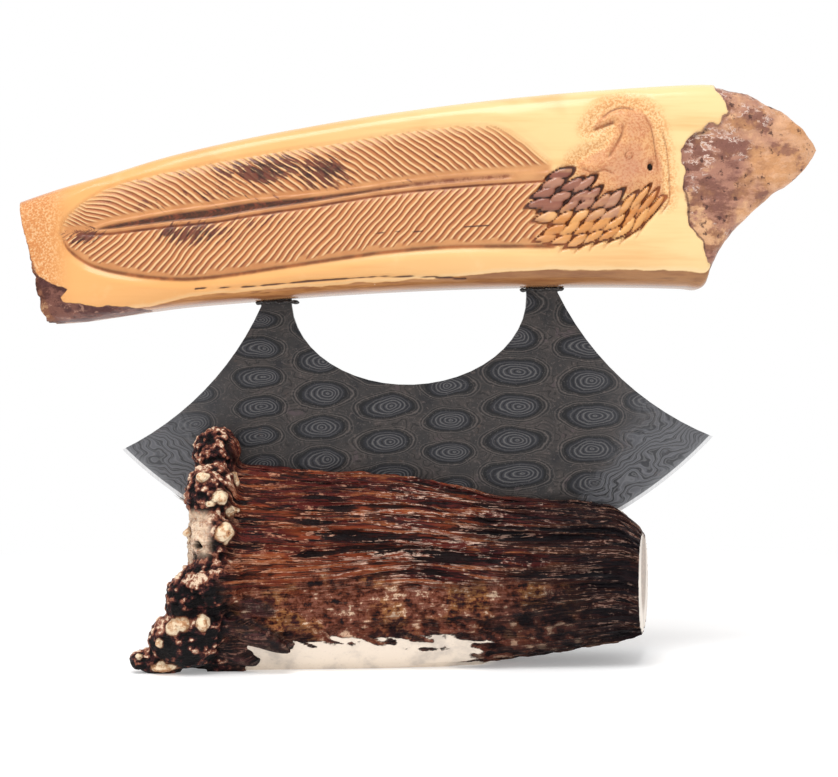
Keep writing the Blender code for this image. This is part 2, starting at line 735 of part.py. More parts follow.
def burr_lobes(cutters):
    lobes = []
    for index, (across, degrees, out, *halves) in enumerate(burr_shares):
        angle = radians(degrees)
        x = BURR_X + (across - 1 / 2) * BURR_WIDTH
        y = -sin(angle) * out * BURR_RADIUS
        z = BURR_CENTRE_HEIGHT + cos(angle) * out * BURR_RADIUS
        sizes = [half * BURR_RADIUS for half in halves]
        lobes.append(lobe(f"burr_lobe_{index}", Vector((x, y, z)), sizes, angle, "X", cutters))
    return lobes


def roots(cutters):
    made = []
    for index, (start, end, high, low, out, thick) in enumerate(root_shares):
        first = Vector((BEAM_LEFT + start * BEAM_LENGTH, 0, high * BEAM_HEIGHT))
        last = Vector((BEAM_LEFT + end * BEAM_LENGTH, 0, low * BEAM_HEIGHT))
        run = last - first
        centre = (first + last) / 2 + Vector((0, out * BEAM_WIDTH, 0))
        half = thick / 2 * BEAM_WIDTH
        turn = -asin(run.z / run.length)
        made.append(lobe(f"root_{index}", centre, (run.length / 2, half, half), turn, "Y", cutters))
    return made


def shed_face(cutters):
    """The rounded face where the antler came off, inside the ring of the burr."""
    centre = Vector((BURR_X + BURR_WIDTH / 3, 0, BURR_CENTRE_HEIGHT))
    half_width = BURR_RADIUS * SHED_WIDTH_SHARE
    half_height = BURR_RADIUS * SHED_HEIGHT_SHARE
    sizes = (SHED_FACE_BULGE + BURR_WIDTH / 2, half_width, half_height)
    return lobe("shed_face", centre, sizes, 0, "X", cutters)


def facet_cutter(cutters):
    """A block that takes the lower front off the beam along one slanting plane, right of the burr."""
    left = Vector((FACET_LEFT_X, FACET_LEFT_Y, 0))
    right = Vector((FACET_RIGHT_X, FACET_RIGHT_Y, 0))
    run = (right - left).normalized()
    size = BEAM_LENGTH
    block = box("facet_cutter", (0, -size, -size), (size, 0, size), cutters)
    heading = run.to_track_quat("X", "Z").to_matrix().to_4x4()
    lean = Matrix.Rotation(FACET_LEAN, 4, "X")
    block.matrix_world = Matrix.Translation(left) @ heading @ lean
    mark_cutter(block)
    return block


def end_cutter(cutters):
    """A block that saws the right end off, a little askew."""
    size = BEAM_LENGTH
    block = box("end_cutter", (0, -size, -size), (size, size, size), cutters)
    block.location = (END_CUT_X, 0, 0)
    block.rotation_euler = (0, 0, -END_CUT_ANGLE)
    mark_cutter(block)
    return block


def floor_cutter(cutters):
    """A block that cuts the flat base."""
    size = BEAM_LENGTH
    block = box("floor_cutter", (-size, -size, -size), (size, size, 0), cutters)
    mark_cutter(block)
    return block


def kerf_cutter(cutters):
    """A disc as wide as the saw, sunk to the floor of the kerf."""
    shape = bmesh.new()
    bmesh.ops.create_cone(shape, cap_ends=True, segments=GRIND_SEGMENTS, radius1=KERF_RADIUS,
                          radius2=KERF_RADIUS, depth=KERF_WIDTH)
    mesh = bpy.data.meshes.new("kerf_cutter")
    shape.to_mesh(mesh)
    shape.free()
    disc = add_object("kerf_cutter", mesh, cutters)
    disc.location = (KNIFE_X, 0, EDGE_CENTRE_HEIGHT)
    disc.rotation_euler = (radians(90), 0, 0)
    mark_cutter(disc)
    return disc


def build_stand(collection, cutters, look):
    rings = [beam_ring(i / BEAM_RINGS) for i in range(BEAM_RINGS + 1)]
    stand = loft("antler_stand", rings, collection, look)
    for lump in (shed_face(cutters), *burr_lobes(cutters)):
        boolean(stand, lump, "UNION")
    for cutter in (end_cutter(cutters), facet_cutter(cutters)):
        boolean(stand, cutter)
    for root in roots(cutters):
        boolean(stand, root, "UNION")
    for cutter in (floor_cutter(cutters), kerf_cutter(cutters)):
        boolean(stand, cutter)
    return stand


def build():
    clear_scene()
    parts = new_collection("ulu_knife")
    cutters = new_collection("cutters")
    ivory = material("tusk_ivory", (0.86, 0.57, 0.25), 0.28, 0)
    steel = material("etched_steel", (0.045, 0.045, 0.05), 0.42, 0.8)
    resin = material("set_resin", (0.05, 0.045, 0.045), 0.45, 0)
    antler = material("antler_bark", (0.11, 0.035, 0.02), 0.55, 0)
    knife = bpy.data.objects.new("knife_frame", None)
    parts.objects.link(knife)
    knife.location = (KNIFE_X, 0, EDGE_CENTRE_HEIGHT)
    knife.rotation_euler = (0, -KNIFE_LEAN, 0)
    handle = build_handle(parts, ivory, knife)
    build_blade(parts, cutters, steel, knife)
    left_side, right_side = tang_sides()
    build_bedding("left_tang_bedding", left_side, handle, parts, cutters, resin, knife)
    build_bedding("right_tang_bedding", right_side, handle, parts, cutters, resin, knife)
    build_stand(parts, cutters, antler)
    bpy.context.view_layer.update()


build()
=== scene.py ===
"""Ulu knife in its antler stand: the finish of every surface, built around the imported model."""

from itertools import product
from math import asin, cos, pi, radians, sin

import bmesh
import bpy
import numpy as np
from mathutils import Matrix, Vector
from mathutils.bvhtree import BVHTree


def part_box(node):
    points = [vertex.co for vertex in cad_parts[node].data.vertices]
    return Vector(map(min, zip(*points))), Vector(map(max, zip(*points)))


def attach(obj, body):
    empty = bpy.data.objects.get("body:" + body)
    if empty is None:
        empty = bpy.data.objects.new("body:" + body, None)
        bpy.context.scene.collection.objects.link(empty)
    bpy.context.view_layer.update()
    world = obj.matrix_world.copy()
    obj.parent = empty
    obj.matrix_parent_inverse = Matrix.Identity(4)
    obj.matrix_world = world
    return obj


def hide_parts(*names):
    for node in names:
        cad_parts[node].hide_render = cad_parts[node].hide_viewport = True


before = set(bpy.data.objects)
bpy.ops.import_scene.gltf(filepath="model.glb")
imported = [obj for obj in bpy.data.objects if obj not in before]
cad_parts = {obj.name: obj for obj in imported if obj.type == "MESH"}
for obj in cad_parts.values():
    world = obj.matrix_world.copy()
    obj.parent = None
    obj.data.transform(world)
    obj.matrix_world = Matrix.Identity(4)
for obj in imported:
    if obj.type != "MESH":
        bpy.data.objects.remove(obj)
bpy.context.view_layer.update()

# Camera
# The knife is seen straight from the front, from 45 cm away and level with the middle of the blade.
# The lens takes in the knife and the whole length of its stand.

CAMERA_PLACE = (0.0010, -0.4500, 0.0700)
CAMERA_LENS = 74.88
CAMERA_FILM = 36.0


def put_in_scene(name, data):
    """A new object in the scene that holds this data."""
    made = bpy.data.objects.new(name, data)
    bpy.context.scene.collection.objects.link(made)
    return made


camera_data = bpy.data.cameras.new("camera")
camera_data.lens = CAMERA_LENS
camera_data.sensor_width = CAMERA_FILM
camera = put_in_scene("camera", camera_data)
camera.location = CAMERA_PLACE
camera.rotation_euler = (radians(90), 0, 0)
bpy.context.scene.camera = camera

# Handle
# One slab of old tusk, sawn to shape, polished and carved on its front with a feather that ends in a
# bird's head. The brown bark of the tusk is left on its right end and its lower left corner.

MM = 0.001
KNIFE_CENTRE = Vector((-0.0010, 0.0, 0.1300))
KNIFE_LEAN = radians(1.27)
HANDLE_LENGTH = 0.2033
HANDLE_RISE = 0.0575
HANDLE_THICKNESS = 0.0260
HANDLE_LEFT = -0.0990
HANDLE_FOOT = -0.0414
FACE_ROUNDING = 5.0
BACK_ROUNDING = 3.4
FACE_REACH = 0.95
BACK_REACH = 0.90
CARVED_STEP = 0.33 * MM
PLAIN_STEP = 0.50 * MM
CARVED_FROM = 6 * MM
CARVED_TO = 170 * MM
FACE_ROWS = 110
CORNER_ROWS = 8
SHOULDER_ROWS = 5
BACK_ROWS = 18
CAP_RINGS = 10

# Top edge and bottom edge from the left end to the right tip, as shares of the handle's length and
# rise, and the thickness there as a share of the full thickness.
handle_shares = [
    (-0.003, 0.545, 0.026, 0.000, 0.86),
    (0.045, 0.597, 0.066, 0.006, 0.93),
    (0.110, 0.657, 0.121, 0.030, 0.97),
    (0.185, 0.730, 0.192, 0.060, 1.00),
    (0.273, 0.796, 0.276, 0.079, 1.00),
    (0.361, 0.848, 0.359, 0.096, 1.00),
    (0.449, 0.893, 0.443, 0.108, 1.00),
    (0.537, 0.929, 0.528, 0.115, 1.00),
    (0.626, 0.958, 0.617, 0.116, 1.00),
    (0.714, 0.979, 0.704, 0.113, 1.00),
    (0.789, 0.991, 0.776, 0.106, 1.00),
    (0.842, 0.996, 0.824, 0.098, 1.00),
    (0.868, 0.993, 0.847, 0.094, 1.00),
    (0.886, 0.982, 0.857, 0.158, 0.99),
    (0.904, 0.965, 0.868, 0.235, 0.96),
    (0.922, 0.938, 0.884, 0.313, 0.92),
    (0.941, 0.905, 0.908, 0.395, 0.86),
    (0.960, 0.868, 0.937, 0.482, 0.78),
    (0.978, 0.815, 0.966, 0.545, 0.66),
    (0.991, 0.760, 0.980, 0.590, 0.52),
    (1.000, 0.712, 0.990, 0.645, 0.38),
]

# Places on the face, in millimetres from the handle's left end and up from its foot.
feather_top = [
    (10.4, 22.9), (11.4, 26.0), (13.7, 28.5), (17.8, 31.5), (22.8, 34.1), (31.7, 36.6), (47.0, 39.3),
    (56.1, 40.9), (66.9, 42.4), (78.7, 43.8), (91.3, 45.6), (103.4, 47.1), (113.9, 47.6),
    (121.4, 46.8), (127.1, 43.4), (133.0, 38.4), (135.3, 36.6),
]
feather_foot = [
    (10.4, 22.5), (12.0, 19.3), (14.9, 16.7), (17.9, 14.9), (21.6, 13.6), (25.4, 12.7), (32.9, 11.4),
    (42.1, 10.7), (52.9, 11.5), (62.0, 12.7), (78.1, 14.8), (92.7, 16.5), (107.7, 17.4),
    (120.8, 17.3), (135.3, 17.0),
]
feather_shaft = [
    (10.4, 22.6), (17.3, 22.9), (23.1, 23.7), (38.2, 25.6), (49.0, 26.6), (58.3, 27.9), (75.4, 29.6),
    (93.0, 31.9), (103.6, 33.0), (114.4, 33.7), (122.9, 34.1), (135.3, 34.6),
]
head_outline = [
    (144.2, 45.5), (146.2, 48.6), (149.4, 51.0), (153.0, 51.8), (156.9, 50.6), (159.3, 48.4),
    (160.6, 44.6), (161.8, 38.1), (162.4, 33.5), (161.9, 27.3), (156.2, 29.6), (149.1, 27.8),
    (142.4, 30.0), (140.4, 33.3), (140.6, 37.0), (143.8, 39.2), (147.6, 40.6), (149.6, 43.8),
    (150.2, 46.6),
]
plumage_foot = [(128.0, 18.4), (136.6, 16.6), (145.9, 17.4), (153.4, 19.4), (162.4, 25.4)]
plumage_top = [
    (128.0, 36.4), (134.0, 37.2), (140.5, 34.5), (146.1, 29.1), (151.1, 28.5), (156.2, 30.2), (162.2, 31.2),
]
throat = [(152.4, 47.2), (152.0, 44.2), (149.9, 40.4), (148.0, 37.6)]
mouth = [(144.6, 45.4), (147.5, 46.4), (150.9, 47.6)]
brow = [(146.7, 47.9), (149.4, 50.2), (152.6, 51.2), (156.4, 50.2)]
nape = [(157.4, 49.6), (159.4, 45.6), (160.4, 39.0), (161.0, 33.0)]
outer_nape = [(161.6, 47.0), (163.0, 41.0), (163.6, 34.0), (163.4, 27.0), (160.0, 22.6)]
cheek = [(141.0, 36.4), (144.4, 34.6), (147.6, 35.2), (150.4, 33.6)]
long_crack = [
    (44.0, 7.6), (57.9, 7.9), (67.9, 8.6), (75.5, 9.1), (85.5, 9.4), (94.8, 9.6), (103.5, 9.2), (112.0, 8.6),
]
vane_crack = [(80.0, 20.1), (91.3, 20.6), (103.3, 21.0), (115.9, 21.8), (127.2, 22.5)]
bark_edge = [
    (176.0, 58.0), (176.9, 53.5), (178.2, 49.2), (175.8, 46.6), (170.5, 44.8), (167.0, 39.5),
    (167.8, 35.4), (166.7, 30.2), (168.1, 23.1), (169.9, 18.1), (173.0, 10.2), (173.9, 0.0),
    (230.0, 0.0), (230.0, 58.0),
]
corner_chip = [
    (-6.0, 14.4), (2.8, 12.6), (6.8, 10.4), (11.7, 8.2), (10.0, 6.3), (10.4, 4.9), (24.0, 3.5),
    (36.0, 2.2), (44.0, 0.0), (36.0, -8.0), (-6.0, -8.0),
]

# The lines cut into the head: line, width and depth in millimetres.
head_cuts = [
    (throat, 0.50, 0.50), (mouth, 0.60, 0.70), (brow, 0.40, 0.45), (nape, 0.32, 0.28),
    (outer_nape, 0.30, 0.25), (cheek, 0.45, 0.35),
]

EYE_PLACE = (153.6, 38.7)
EYE_RADIUS = 0.75
PIT_PLACE = (158.9, 35.9)
PIT_HALF_WIDTH = 0.75
PIT_HALF_HEIGHT = 1.25
PIT_DEPTH = 1.4 * MM

FEATHER_LEFT = 10.2
FEATHER_RIGHT = 135.0
BARB_SPACING = 2.05
BARB_CREST = 0.27
BARB_DEPTH = 0.42 * MM
VANE_FLOOR = 0.75 * MM
VANE_CROWN = 0.35 * MM
TROUGH_DEPTH = 1.05 * MM
TOP_TROUGH_DEPTH = 0.35 * MM
SHAFT_RIM_HEIGHT = 0.45 * MM
SHAFT_CHANNEL_DEPTH = 0.35 * MM
HEAD_HEIGHT = 0.85 * MM
HEAD_ROUNDING = 3.4
HEAD_FIELD_DEPTH = 0.9 * MM
PLUMAGE_LEFT = 129.6
PLUMAGE_RIGHT = 161.5
SCALE_LENGTH = 3.9
SCALE_HEIGHT = 2.75
SCALE_RISE = 1.05 * MM
BARK_STEP = 0.9 * MM


def through(rows, places):
    """Smooth values between the rows of a table, at places from 0 to 1."""
    table = np.array(rows, float)
    spans = len(table) - 1
    step = np.minimum((places * spans).astype(int), spans - 1)
    t = (places * spans - step)[:, None]
    a, b, c, d = (table[np.clip(step + k, 0, spans)] for k in (-1, 0, 1, 2))
    bend = (2 * a - 5 * b + 4 * c - d) * t * t + (3 * b - a - 3 * c + d) * t ** 3
    return b + ((c - a) * t + bend) / 2


def height_of(line, x):
    """Height of a drawn line at each x."""
    smooth = through(line, np.linspace(0, 1, 400))
    return np.interp(x, smooth[:, 0], smooth[:, 1])


def ease(low, high, value):
    """0 below low, 1 above high and smooth between them."""
    t = np.clip((value - low) / (high - low), 0, 1)
    return t * t * (3 - 2 * t)


def random_at(cells, seed):
    """A repeatable number from 0 to 1 for each cell of a grid."""
    a, b, c = (cells[..., k].astype(np.int64) for k in range(3))
    mixed = (a * 73856093) ^ (b * 19349663) ^ (c * 83492791) ^ (seed * 6542989)
    mixed = ((mixed ^ (mixed >> 13)) * 1274126177) & 0x7FFFFFFF
    mixed = ((mixed ^ (mixed >> 15)) * 668265263) & 0x7FFFFFFF
    return ((mixed >> 7) & 0xFFFF) / 0xFFFF


def grain(points, size, seed=0):
    """Smooth noise from -1 to 1 whose lumps are about size across."""
    scaled = points / np.array(size)
    cell = np.floor(scaled)
    t = scaled - cell
    t = t * t * (3 - 2 * t)
    total = 0
    for corner in product((0, 1), repeat=3):
        weight = np.prod(np.where(corner, t, 1 - t), axis=-1)
        total = total + weight * random_at(cell + np.array(corner), seed)
    return 2 * total - 1


def rough(points, size, layers, seed=0):
    """Noise in layers, each half as large and half as strong as the one before."""
    size = np.array(size, float)
    return sum(grain(points, size / 2 ** k, seed + k) / 2 ** k for k in range(layers))


def line_distance(line, x, z):
    """Distance from a drawn line, and how far along it from 0 to 1."""
    points = through(line, np.linspace(0, 1, 12 * (len(line) - 1)))
    best = np.full(x.shape, 1e9)
    along = np.zeros(x.shape)
    for i, (start, end) in enumerate(zip(points, points[1:])):
        run = end - start
        t = np.clip(((x - start[0]) * run[0] + (z - start[1]) * run[1]) / (run @ run), 0, 1)
        away = np.hypot(x - start[0] - t * run[0], z - start[1] - t * run[1])
        along = np.where(away < best, (i + t) / (len(points) - 1), along)
        best = np.minimum(best, away)
    return best, along


def inside_distance(outline, x, z):
    """Distance from a closed outline, positive inside it."""
    best = np.full(x.shape, 1e9)
    inside = np.zeros(x.shape, bool)
    for start, end in zip(outline, outline[1:] + outline[:1]):
        run = (end[0] - start[0], end[1] - start[1])
        t = ((x - start[0]) * run[0] + (z - start[1]) * run[1]) / (run[0] ** 2 + run[1] ** 2)
        t = np.clip(t, 0, 1)
        best = np.minimum(best, np.hypot(x - start[0] - t * run[0], z - start[1] - t * run[1]))
        crosses = (start[1] > z) != (end[1] > z)
        rise = run[1] if run[1] else 1e-9
        inside ^= crosses & (x < start[0] + (z - start[1]) / rise * run[0])
    return np.where(inside, best, -best)


def spots(x, z):
    """Points on a flat face, as places for noise."""
    return np.stack([x, z, 0 * x], -1)


def half_depth(v, rounding):
    """How far a rounded section reaches back at height share v, as a share of half its depth."""
    return (1 - np.abs(v) ** rounding) ** (1 / rounding)


def section_outline():
    """Points round a section, as shares of half its height and half its depth."""
    face = np.linspace(-FACE_REACH, FACE_REACH, FACE_ROWS + 1)
    back = np.linspace(BACK_REACH, -BACK_REACH, BACK_ROWS + 1)
    front_side = np.linspace(-half_depth(FACE_REACH, FACE_ROUNDING), 0, CORNER_ROWS + 1)[1:]
    back_side = np.linspace(0, half_depth(BACK_REACH, BACK_ROUNDING), SHOULDER_ROWS + 1)[1:-1]
    over = np.concatenate([half_depth(front_side, FACE_ROUNDING), half_depth(back_side, BACK_ROUNDING)])
    side = np.concatenate([front_side, back_side])
    heights = np.concatenate([face, over, back, -over[::-1]])
    front, rear = -half_depth(face, FACE_ROUNDING), half_depth(back, BACK_ROUNDING)
    return heights, np.concatenate([front, side, rear, side[::-1]])


def handle_places():
    """Places of the sections along the handle, closer together where it is carved."""
    dense = np.linspace(0, 1, 4001)
    line = through(handle_shares, dense) * [HANDLE_LENGTH, HANDLE_RISE, HANDLE_LENGTH, HANDLE_RISE, 0]
    run = np.abs(np.diff(line, axis=0))
    longest = np.maximum(np.hypot(run[:, 0], run[:, 1]), np.hypot(run[:, 2], run[:, 3]))
    middle = (line[1:, 0] + line[1:, 2]) / 2
    step = np.where((middle > CARVED_FROM) & (middle < CARVED_TO), CARVED_STEP, PLAIN_STEP)
    count = np.concatenate([[0], np.cumsum(longest / step)])
    return np.interp(np.linspace(0, count[-1], int(count[-1])), count, dense)


def carve_feather(x, z, paints):
    """Depth of the feather's relief behind the face, in metres; adds its barbs to paints."""
    shaft = height_of(feather_shaft, x)
    top = height_of(feather_top, x)
    foot = height_of(feather_foot, x)
    out = z - shaft
    inside = np.minimum(top - z, z - foot)
    inside = np.minimum(inside, (x - FEATHER_LEFT) * 0.8)
    inside = np.minimum(inside, FEATHER_RIGHT - x)
    above = ease(-0.5, 0.5, out)
    flat = spots(x, z)

    tip = 1 + 0.8 * np.exp(-np.maximum(x - 17, 0) / 7)
    high = np.maximum(out, 0)
    low = np.maximum(-out, 0)
    start = x + high * (1.02 + 0.012 * high) * tip
    start += (0.98 * low + 0.6 * (1 - np.exp(-low / 2))) * (1 + (tip - 1) / 2)
    phase = start / BARB_SPACING + 0.30 * grain(flat, (9, 9, 9), 3) + 0.5 * (1 - above)
    phase += 0.12 * grain(flat, (2.5, 2.5, 2.5), 4)
    phase = np.where(out < 0, -phase, phase)
    share = phase % 1
    crest = np.where(share < BARB_CREST, share / BARB_CREST, (1 - share) / (1 - BARB_CREST))
    uneven = random_at(spots(np.floor(phase), 0 * x), 5) * np.where(out < 0, 1.3, 0.5)
    shaft_half = 0.75 + 0.85 * np.exp(-((x - 50) / 24) ** 2) + 0.25 * ease(80, 110, x)
    shaft_half *= ease(15, 24, x)
    beside = np.abs(out) - shaft_half
    barbs = ease(0.0, 0.5, inside - uneven)
    barbs *= np.where(out < 0, ease(0.8, 1.6, beside), ease(1.1, 2.1, beside))

    trough = (1 - ease(0.3, 3.4, -inside)) * (TOP_TROUGH_DEPTH * above + TROUGH_DEPTH * (1 - above))
    vane = VANE_FLOOR - VANE_CROWN * ease(0.2, 3.0, inside) * ease(0.3, 3.0, beside)
    depth = trough + (vane - trough) * ease(-0.35, 0.25, inside)
    depth -= (crest - 0.5) * BARB_DEPTH * barbs

    end = 1 - ease(122, 126, x)
    rim = np.exp(-(beside / 0.32) ** 2) * ease(0.02, 0.3, shaft_half)
    channel = 1 - ease(-0.75, -0.25, beside)
    under = np.exp(-((out + shaft_half + 0.75) / 0.35) ** 2)
    depth += (channel * SHAFT_CHANNEL_DEPTH * end + under * SHAFT_CHANNEL_DEPTH * 0.9) * ease(13, 20, x)
    depth -= rim * SHAFT_RIM_HEIGHT * (1 - ease(128, 133, x)) + channel * (1 - end) * SHAFT_RIM_HEIGHT

    soft_end = ease(10.0, 11.5, x) * (1 - ease(134, 136, x))
    paints["barb"] = phase
    paints["out"] = out
    paints["vane"] = np.clip(barbs, 0, 1)
    paints["feather"] = ease(-0.6 + 0.7 * above, 0.2 + 1.5 * above, inside)
    paints["margin"] = np.clip(inside / 6, 0, 1)
    paints["channel"] = channel * end * ease(14, 19, x) * ease(-0.5, 0.3, inside)
    # Painted shade: the trough along the feather's lower edge and the groove under the shaft are darkened
    # where shade falls.
    paints["hollow"] = np.maximum(
        0.78 * np.exp(-((inside + 0.7) / 0.7) ** 2) * (1 - above) * soft_end,
        under * ease(0, 1, inside) * ease(13, 20, x))
    return depth * ease(9.6, 11.2, x) * (1 - ease(133.0, 135.5, x)), inside


def plumage_scales(x, z):
    """Braided scales: 1 at their middles and 0 at their rims, how mauve each is, and its own tone."""
    along = x / SCALE_LENGTH
    up = (z - height_of(plumage_foot, x)) / SCALE_HEIGHT
    best = np.full_like(x, -4.0)
    mauve = np.zeros_like(x)
    tone = np.zeros_like(x)
    row = np.floor(up)
    for row_step, column_step in product((-1, 0, 1), (-1, 0, 1, 2)):
        this_row = row + row_step
        column = np.floor(along - 0.5 * this_row) + column_step
        cell = spots(column, this_row)
        shift = (random_at(cell, 301) - 0.5) * 0.30
        centre_along = column + 0.5 * this_row + shift
        centre_up = this_row + 0.50 + (random_at(cell, 302) - 0.5) * 0.16
        centre_x = centre_along * SCALE_LENGTH
        centre_z = height_of(plumage_foot, centre_x) + centre_up * SCALE_HEIGHT
        ragged_start = PLUMAGE_LEFT + 4.5 * random_at(np.stack([this_row] * 3, -1), 303)
        kept = (this_row >= 0) & (centre_z < height_of(plumage_top, centre_x) - 0.6)
        kept &= (centre_x > ragged_start) & (centre_x < PLUMAGE_RIGHT)
        u = along - centre_along - 0.36 * (up - centre_up)
        w = up - centre_up + 1.2 * np.minimum(u + 0.10, 0) ** 2 - 0.30 * u
        size = 0.53 + 0.06 * random_at(cell, 304)
        half_tall = 0.50 + 0.20 * np.clip(u, -0.6, 0)
        value = 1 - np.abs(u / size) ** 2.6 - (np.abs(w) / half_tall) ** 2.6
        value = np.where(kept, value, -4.0)
        better = value > best
        row_mauve = (this_row - 1.2) / 2.2 + 0.5 * (random_at(cell, 305) - 0.5)
        mauve = np.where(better, np.clip(row_mauve, 0, 1), mauve)
        tone = np.where(better, random_at(cell, 306), tone)
        best = np.maximum(best, value)
    return best, mauve, tone


def carve_head(x, z, paints):
    """Relief of the bird's head and its plumage, and a weight that is 1 where it takes over."""
    head = inside_distance(head_outline, x, z)
    flat = spots(x, z)
    bent_x = x + 0.55 * grain(flat, (6, 6, 6), 21)
    bent_z = z + 0.50 * grain(flat, (5, 5, 5), 22)
    scale, mauve, tone = plumage_scales(bent_x, bent_z)
    on_plumage = ease(-1.3, -0.5, scale)
    cut = (1 - ease(-0.20, 0.34, scale)) * ease(-1.7, -0.6, scale)

    field = np.maximum(ease(-4.5, -0.5, head), ease(-4.0, -0.6, scale)) * ease(127.0, 131.0, x)
    depth = HEAD_FIELD_DEPTH * field
    depth -= HEAD_HEIGHT * ease(-0.3, HEAD_ROUNDING, head) * (1 - on_plumage)
    smooth_cheek = np.exp(-(((x - 153.5) / 6.5) ** 2 + ((z - 35.5) / 4.5) ** 2))
    nub = rough(flat, (1.1, 0.8, 1.0), 2, 12)
    depth += 0.10 * MM * nub * np.maximum(field, 0.8 * ease(-5.0, -1.0, head)) * (1 - smooth_cheek)
    bulge = ease(-0.1, 0.45, scale) * (0.72 + 0.28 * np.clip(scale, 0, 1))
    depth -= on_plumage * SCALE_RISE * bulge * (0.85 + 0.3 * tone)
    depth += 0.30 * MM * cut
    depth += 0.05 * MM * on_plumage * grain(flat, (2.6, 0.5, 1.0), 24)
    # Painted shade: dark is shade painted into the grooves under the scale rims, the cut lines, the groove
    # round the head and the ring round the eye.
    dark = np.minimum(1.15 * cut, 1)

    for line, width, deep in head_cuts:
        away, along = line_distance(line, x, z)
        score = np.exp(-(away / width) ** 2) * ease(0, 0.18, along) * (1 - ease(0.8, 1, along))
        depth += deep * MM * score
        dark = np.maximum(dark, 0.58 * score)
    rim = np.exp(-((head + 0.55) / 0.45) ** 2) * (1 - on_plumage)
    dark = np.maximum(dark, 0.28 * rim * ease(-0.4, 0.5, grain(flat, (4, 4, 4), 25)))
    depth += 0.20 * MM * rim

    eye = np.hypot(x - EYE_PLACE[0], z - EYE_PLACE[1])
    depth -= 0.22 * MM * (1 - ease(EYE_RADIUS * 0.6, EYE_RADIUS, eye))
    ring = np.exp(-((eye - EYE_RADIUS * 1.25) / 0.26) ** 2)
    depth += 0.22 * MM * ring
    dark = np.maximum(dark, 0.6 * ring)
    pit = np.hypot((x - PIT_PLACE[0]) / PIT_HALF_WIDTH, (z - PIT_PLACE[1]) / PIT_HALF_HEIGHT)
    depth += PIT_DEPTH * (1 - ease(0.65, 1.15, pit))
    paints["pit"] = 1 - ease(0.7, 1.2, pit + 0.5 * np.clip(z - PIT_PLACE[1], 0, 1))
    # The painted shade of the head and scales joins the feather's painted shade.
    paints["hollow"] = np.maximum(paints["hollow"] * (1 - ease(0.1, 0.6, on_plumage)), dark)
    paints["head"] = ease(-0.3, 0.8, head) * (1 - on_plumage)
    paints["plumage"] = on_plumage
    paints["mauve"] = np.where(on_plumage > 0, mauve, 0) * on_plumage
    paints["tone"] = tone
    paints["cheek"] = smooth_cheek
    round_head = np.maximum(field, ease(-4.8, -1.2, head)) * (1 - on_plumage)
    paints["stipple"] = np.maximum(round_head, 1 - ease(6, 13, x))
    weight = np.maximum(ease(-1.6, -0.6, scale), ease(-0.8, 0.4, head + 0.6))
    weight = np.maximum(weight, ease(134.5, 136.5, x))
    return depth, weight


